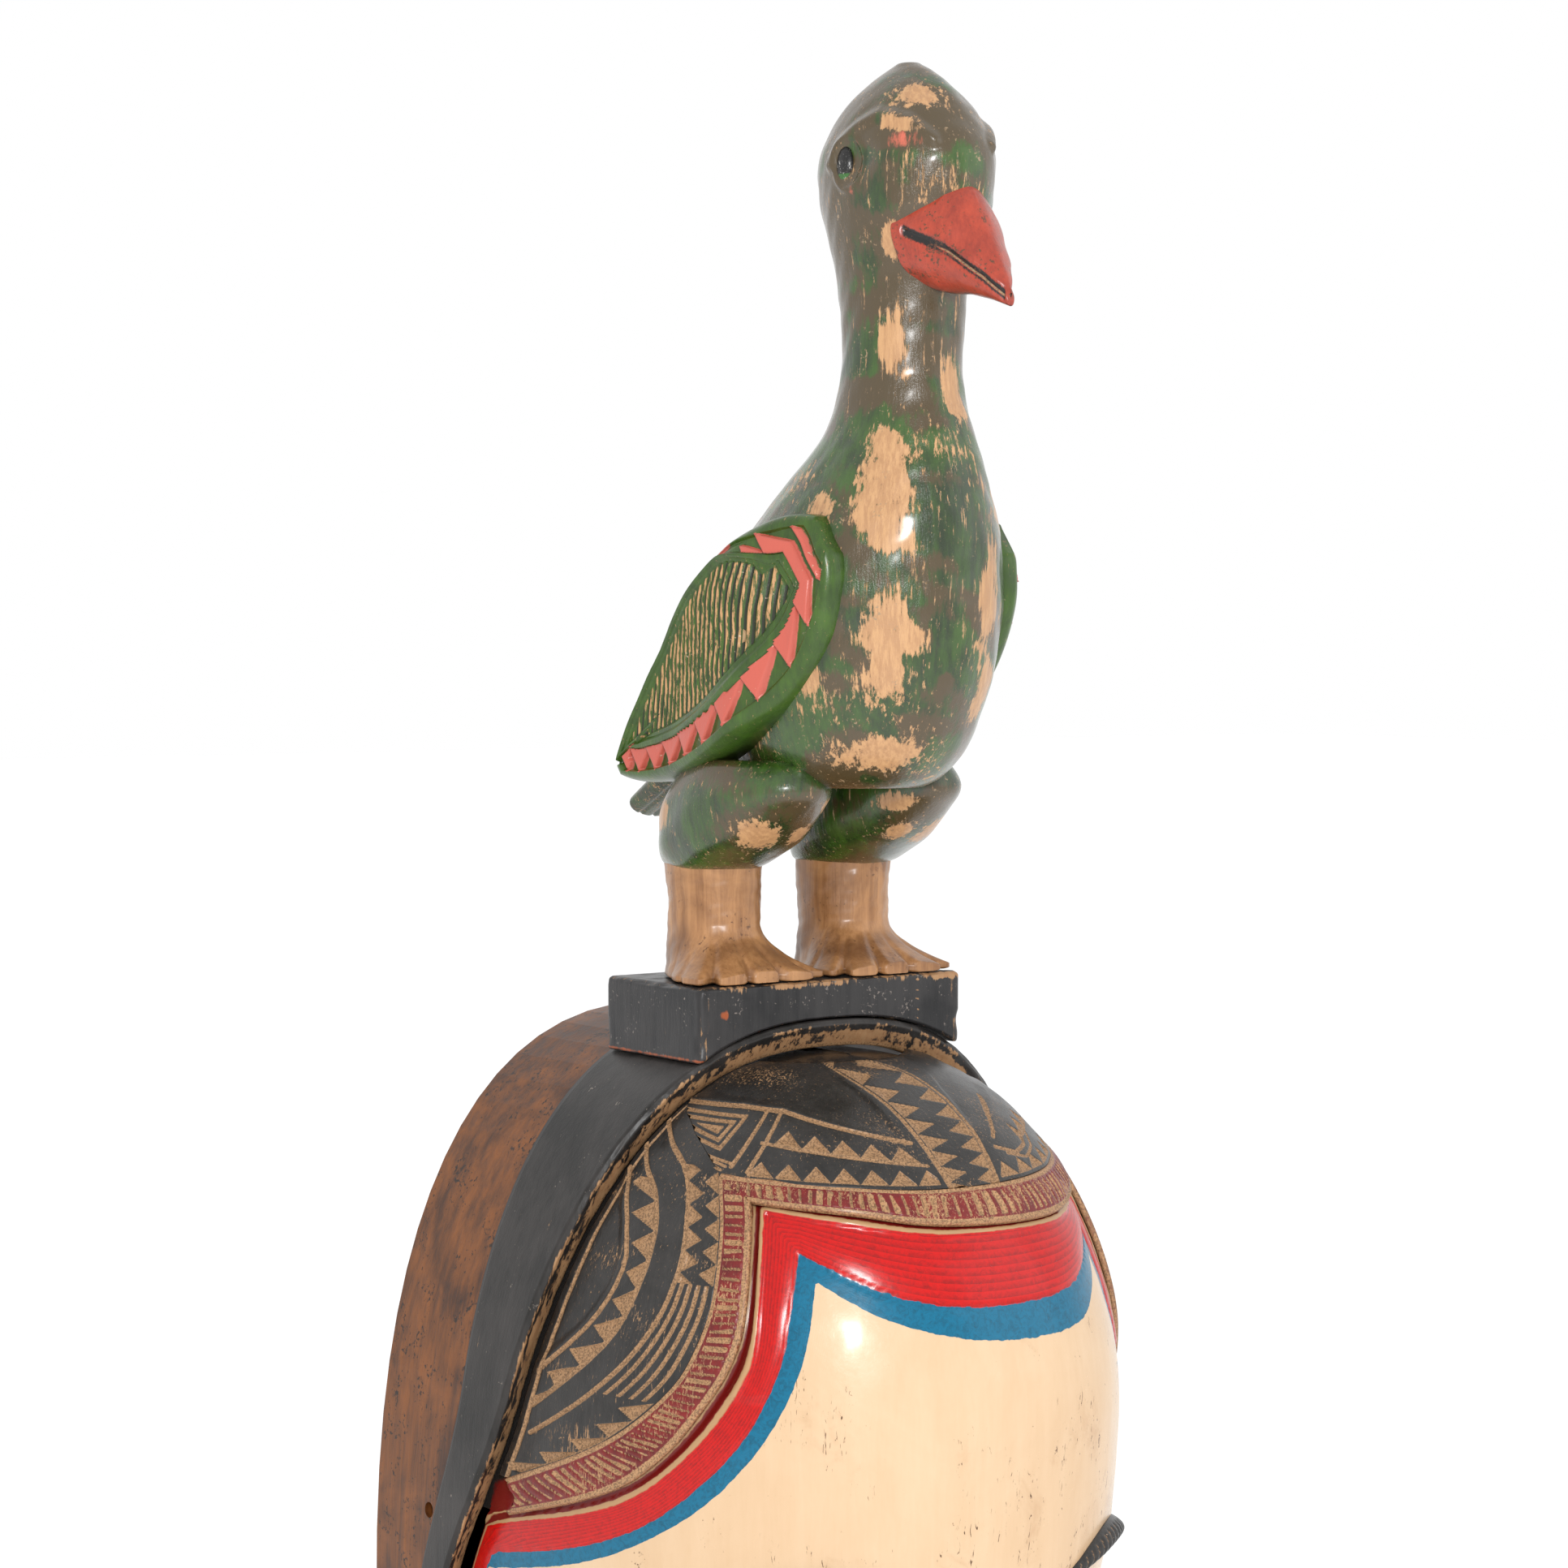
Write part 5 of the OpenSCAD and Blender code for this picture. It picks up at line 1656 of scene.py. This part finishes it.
    def eye_surface(self, angle: Array, share: Array) -> Surface:
        """Left eye: a flat oval bead."""
        turn = (share - 0.5) * math.pi
        (at_x, at_y, at_z), (deep, wide, tall) = self.bead_at, self.bead_size
        x = at_x - deep * np.cos(turn) * np.cos(angle)
        y = at_y + wide * np.cos(turn) * np.sin(angle)
        z = at_z + tall * np.sin(turn)
        return Surface(np.stack([x, y, z], axis=1), {
            "wear": 0.12 + 0 * z, "tint": 1.1 * bell(z - 270.4, 2.4)})

    def wing_surface(self, u: Array, v: Array) -> Surface:
        """Left wing's face: rim, toothed channel, ring and grooved field."""
        s = 0.988 - 0.976 * u
        w = 2 * v - 1
        upper = self.wing_upper * np.clip(np.sin(math.pi * s**0.8), 0, 1) ** 0.6
        lower = self.wing_lower * np.clip(np.sin(math.pi * s**0.72), 0, 1) ** 0.65
        half = np.where(w > 0, upper, lower)
        run = s * self.wing_len
        fall = math.radians(self.wing_fall)
        y = self.wing_y - run * math.cos(fall) - half * w * math.sin(fall)
        z = (self.thigh_top + self.wing_rise - run * math.sin(fall)
             + half * w * math.cos(fall))
        edge = np.minimum((1 - np.abs(w)) * half,
                          np.minimum(run * 0.9, (self.wing_len - run) * 0.8))
        back = ease((w + 0.15) / 0.5) * ease((s - 0.1) / 0.2)
        rim, floor, ring, slope = (a + (b - a) * back for a, b in (
            (4.2, 0.9), (12.5, 2.6), (15.5, 4.2), (17.5, 5.2)))
        thin = 1 - 0.5 * ease((y - 108) / 28)
        rounded = np.clip(1 - (1 - np.minimum(edge / 4.5, 1)) ** 2, 0, 1)
        height = self.wing_thick * thin * np.sqrt(rounded)
        channel = ease((edge - rim) / 1.2) * ease((floor - edge) / 0.8 + 1)
        height -= 2.2 * thin * channel
        across = (floor - edge) / np.maximum(floor - rim, 1)
        step = lookup(s, ((0, 0), (0.08, 1.3), (0.2, 2.5), (0.35, 3.8), (0.5, 5.1),
                          (0.65, 6.6), (0.8, 8.4), (0.9, 10), (1, 12.4)))
        part = step - np.floor(step)
        tooth = np.minimum(0.98 * part + 0.06 - np.clip(across, 0, 2), 2.5 * (1 - part))
        tooth = np.where((back > 0.5) | (edge > floor + 0.3), -1, tooth)
        strip = bell(edge - 1.8, 1.3) * ease((back - 0.6) / 0.3) * ease((0.86 - s) / 0.1)
        coral = np.maximum(np.clip(0.5 + tooth * 9, 0, 1), strip)
        height += 2.3 * ease(tooth * 9) * (0.6 + 0.45 * part)
        height += 0.5 * ease((edge - floor) / 0.8) * ease((ring - edge) / 0.8)
        height -= 1.0 * ease((edge - ring) / 0.9) + 0.8 * ease((edge - slope) / 0.9)
        field_in = ease((edge - slope - 0.6) / 0.6)
        comb = (y - 0.14 * z) / self.groove_pitch
        groove = 1 - np.abs(2 * (comb - np.floor(comb)) - 1)
        height += field_in * (1.2 * groove - 0.6)
        rest = -self.wing_rest(y, z) - 0.9
        raw = np.stack([rest, -y, z], axis=1)
        height += 0.22 * wobble(raw, 15, 0.9) * ease(edge / 4)
        points = np.stack([rest - np.maximum(height, 0), -y, z], axis=1)
        wear = 0.3 * field_in * ease((groove - 0.4) / 0.3)
        wear += 0.08 * bell(edge - slope, 1.2) + 0.06 * bell(edge - 1.5, 1.5)
        # Painted shade: `coral` lays the wing's near-black blush into the bottoms of the field's
        # grooves; the crests wear.
        return Surface(points, {"tint": coral, "wear": wear - 0.3 * coral,
                                "coral": field_in * ease((0.5 - groove) / 0.3)})

    def wing_rest(self, y: Array, z: Array) -> Array:
        """Distance from the middle plane at which a wing lies against the body."""
        far, half_w, half_d = self.body_at(np.maximum(z, self.thigh_top + 30))
        ahead = ease((y - far) / 20)
        t = np.minimum(np.abs(y - far) / (half_d + 16 - 8 * ahead), 1)
        side = half_w * np.sqrt(1 - t * t)
        return (side**8 + (self.chest * 0.84) ** 8) ** 0.125 * (1 - 0.1 * ahead) + 0.8

    def thigh_surface(self, angle: Array, share: Array) -> Surface:
        """Left thigh."""
        base, far = self.leg_top, self.stand_y
        rows = ((base - 1.5, far - 3, 15, 17), (base + 3, far + 1, 18.5, 22),
                (base + 0.35 * self.thigh_h, far + 6, 20.5, 28),
                (base + 0.7 * self.thigh_h, far + 12, 21, 33),
                (base + self.thigh_h, far + 17, 20, 34),
                (base + self.thigh_h + 9, far + 18, 16, 28))
        points, out = level_rings(angle, share, rows, 0.12)
        points = points + out * (0.4 * wobble(points, 16, 1.1))[:, None]
        points[:, 0] -= self.leg_gap / 2
        spots = ((-33, -110, self.leg_top + 13, 7, 8), (-16, -115, self.leg_top + 20, 6, 4),
                 (-20, -112, self.leg_top + 12, 5, 5), (-40, -70, self.leg_top + 16, 7, 7))
        return Surface(points, {"wear": patch_wear(points, spots),
                                "tint": 0.35 + 0.3 * wobble(points, 24, 3.0)})

    def leg_surface(self, angle: Array, share: Array) -> Surface:
        """Left leg: shank and a foot whose toes fan out to the block's front edge."""
        base, far = self.stand_z, self.stand_y - 3
        rows = ((base + 0.4, far, self.shank, self.shank + 2),
                (base + 16, far, self.shank - 0.6, self.shank + 1),
                (base + 0.7 * self.leg_h, far, self.shank - 0.3, self.shank + 1),
                (base + self.leg_h + 3, far, self.shank + 0.6, self.shank + 2))
        points, out = level_rings(angle, share, rows, 0.04)
        h = points[:, 2] - base
        ahead = np.abs((np.degrees(angle) + 90 + 180) % 360 - 180)
        fan = lookup(ahead, ((0, 16), (24, 18), (42, 20), (58, 13), (80, 4), (105, 0.5)))
        toe = (ahead / 24) % 1
        gap = 1 - np.abs(2 * toe - 1)
        front = ease((64 - ahead) / 14)
        low = (1 - np.clip((h - 2.4) / 17, 0, 1)) ** 2.4
        tip = 1 - 0.3 * bell(1 - gap, 0.5) * front * ease((7 - h) / 6)
        lift = fan * low * tip
        lift -= 1.7 * bell(1 - gap, 0.5) * front * ease((15 - h) / 10)
        lift += 0.3 * wobble(points, 14, 0.4) + 0.12 * wobble(points, 5, 3.1)
        points = points + out * lift[:, None]
        points[:, 1] = np.maximum(points[:, 1], -self.stand_y - self.toe_front)
        points[:, 0] = np.clip(points[:, 0], -self.toe_side, self.toe_side) - self.leg_gap / 2
        # Painted shade: `groove` darkens the gaps between the toes; `grime` is random dirt over the
        # leg.
        groove = 0.7 * front * bell(1 - gap, 0.3) * ease((14 - h) / 8)
        grime = 0.26 + 0.3 * wobble(points, 21, 2.2)
        return Surface(points, {"cut": np.maximum(groove, grime)})

    def tail_surface(self, angle: Array, share: Array) -> Surface:
        """Tail that falls from the body towards the wall, with feather cuts on top."""
        along, opening = ring_share(share, 0.06)
        rows = smooth_rows([(66, 27, 11, 7), (44, 16, 12, 7), (22, 2, 12.5, 6), (2.6, -9, 12, 5)])
        y, rise, half_w, half_t = along_rows(along, rows)
        y = y + 5 * ease(1 - along / 0.2)
        x = half_w * opening * np.cos(angle)
        barb = 1 - np.abs(2 * np.mod(x / 5.0 + 0.5, 1) - 1)
        cut = bell(barb, 0.35) * ease((along - 0.2) / 0.2)
        z = self.thigh_top + rise + (half_t * opening - 0.7 * cut) * np.sin(angle)
        # Painted shade: an even olive tint darkens the whole tail, which sits in the shadow by the
        # wall.
        return Surface(np.stack([x, -y, z], axis=1),
                       {"cut": 0.4 * cut, "wear": 0.08 + 0 * x, "tint": 0.4 + 0 * x})

    def wing_mesh(self, flip: bool) -> bmesh.types.BMesh:
        """Wing with its edge drawn in to the body and its back closed."""
        bm = grid(330, 190, self.wing_surface)
        rim = [e for e in bm.edges if e.is_boundary]
        made = bmesh.ops.extrude_edge_only(bm, edges=rim)["geom"]
        drawn = [g for g in made if isinstance(g, bmesh.types.BMVert)]
        for vert in drawn:
            vert.co.x += self.wing_root * MM
        bmesh.ops.edgeloop_fill(bm, edges=[g for g in made if isinstance(g, bmesh.types.BMEdge)
                                           and g.is_boundary])
        if flip:
            bmesh.ops.scale(bm, vec=(-1, 1, 1), verts=bm.verts)
        return bm

    def build(self, effects: Effects) -> None:
        """Makes the bird's pieces."""
        green, slot = FINISHES["plumage"].build(effects), "green_painted_wood"
        finish_mesh("painted_bird_body", ball(260, 330, self.body_surface), green, "bird_body")
        finish_mesh("hooked_beak", ball(180, 150, self.beak_surface),
                    FINISHES["beak"].build(effects), "beak")
        finish_mesh("feathered_tail", ball(96, 90, self.tail_surface), green, "tail")
        finish_pair("oval_eye", "bird_eye", lambda flip: ball(40, 28, self.eye_surface, flip),
                    FINISHES["eye"].build(effects))
        finish_pair("carved_wing", "wing", self.wing_mesh, FINISHES["wing"].build(effects))
        finish_pair("painted_thigh", "thigh",
                    lambda flip: ball(130, 80, self.thigh_surface, flip), green)
        finish_pair("clawed_leg", "leg", lambda flip: ball(220, 130, self.leg_surface, flip),
                    FINISHES["leg"].build(effects))


# ---- Studio ----


@dataclass
class Studio:
    """Pale floor, soft lights and the camera, in metres."""

    turn: float = -36.0
    rise: float = 2.3
    lens: float = 78.0
    eye: tuple[float, float, float] = (-0.6513, -0.9731, 0.1273)
    floor_z: float = -0.327
    pale: Colour = (0.94, 0.94, 0.94)
    glow: float = 0.12
    aim: tuple[float, float, float] = (0.0, -0.11, 0.02)
    lamps: tuple[tuple[str, tuple[float, float, float], float, float], ...] = (
        ("flash", (-0.75, -1.25, 0.42), 0.2, 10.0), ("side_fill", (0.9, -1.1, 0.5), 1.0, 2.0))

    def floor(self) -> None:
        """Makes the plain pale floor."""
        bm = bmesh.new()
        bmesh.ops.create_grid(bm, x_segments=1, y_segments=1, size=12.0)
        bmesh.ops.translate(bm, verts=bm.verts, vec=(0, 0, self.floor_z))
        mesh = bpy.data.meshes.new("floor")
        bm.to_mesh(mesh)
        bm.free()
        material, book, _ = start_material("floor_pale")
        shader = book.node("ShaderNodeBsdfPrincipled", {
            "Base Color": self.pale, "Roughness": 0.9, "Emission Color": self.pale,
            "Emission Strength": self.glow})
        book.node("ShaderNodeOutputMaterial", {"Surface": shader.outputs[0]})
        mesh.materials.append(material)
        floor = bpy.data.objects.new("floor", mesh)
        bpy.context.scene.collection.objects.link(floor)

    def lamp(self, name: str, place: tuple[float, float, float], size: float,
             power: float) -> None:
        """Adds a soft lamp that faces the bird's chest."""
        data = bpy.data.lights.new(name, "AREA")
        data.size = size
        data.energy = power
        lamp = bpy.data.objects.new(name, data)
        lamp.location = place
        lamp.rotation_euler = (Vector(self.aim) - Vector(place)).to_track_quat("-Z", "Y").to_euler()
        bpy.context.scene.collection.objects.link(lamp)

    def build(self) -> None:
        """Makes the floor, the lights and the camera."""
        self.floor()
        world = bpy.data.worlds.new("studio")
        world.use_nodes = True
        background = world.node_tree.nodes["Background"]
        background.inputs["Color"].default_value = (1, 1, 1, 1)
        background.inputs["Strength"].default_value = 1.0
        bpy.context.scene.world = world
        bpy.context.scene.view_settings.view_transform = "Standard"
        for lamp in self.lamps:
            self.lamp(*lamp)
        data = bpy.data.cameras.new("camera")
        data.lens = self.lens
        data.sensor_width = 36.0
        camera = bpy.data.objects.new("camera", data)
        camera.location = self.eye
        camera.rotation_euler = (math.radians(90 - self.rise), 0, math.radians(self.turn))
        bpy.context.scene.collection.objects.link(camera)
        bpy.context.scene.camera = camera


def main() -> None:
    """Builds the mask and the bird in order."""
    logging.basicConfig(level=logging.INFO)
    effects = Effects.build()
    form, bands = MaskForm(), Bands()
    ShownNodes(("back_rim",), "rim").dress(effects)
    Border(form).build(effects)
    FaceShell(form, bands).build(effects)
    Headdress(form, bands).build(effects)
    FaceFeatures(form).build(effects)
    block = CrestBlock(form)
    block.build(effects)
    Bird(block.top, block.middle).build(effects)
    ShownNodes(PEGS, "peg").dress(effects)
    Studio().build()


if __name__ == "__main__":
    main()
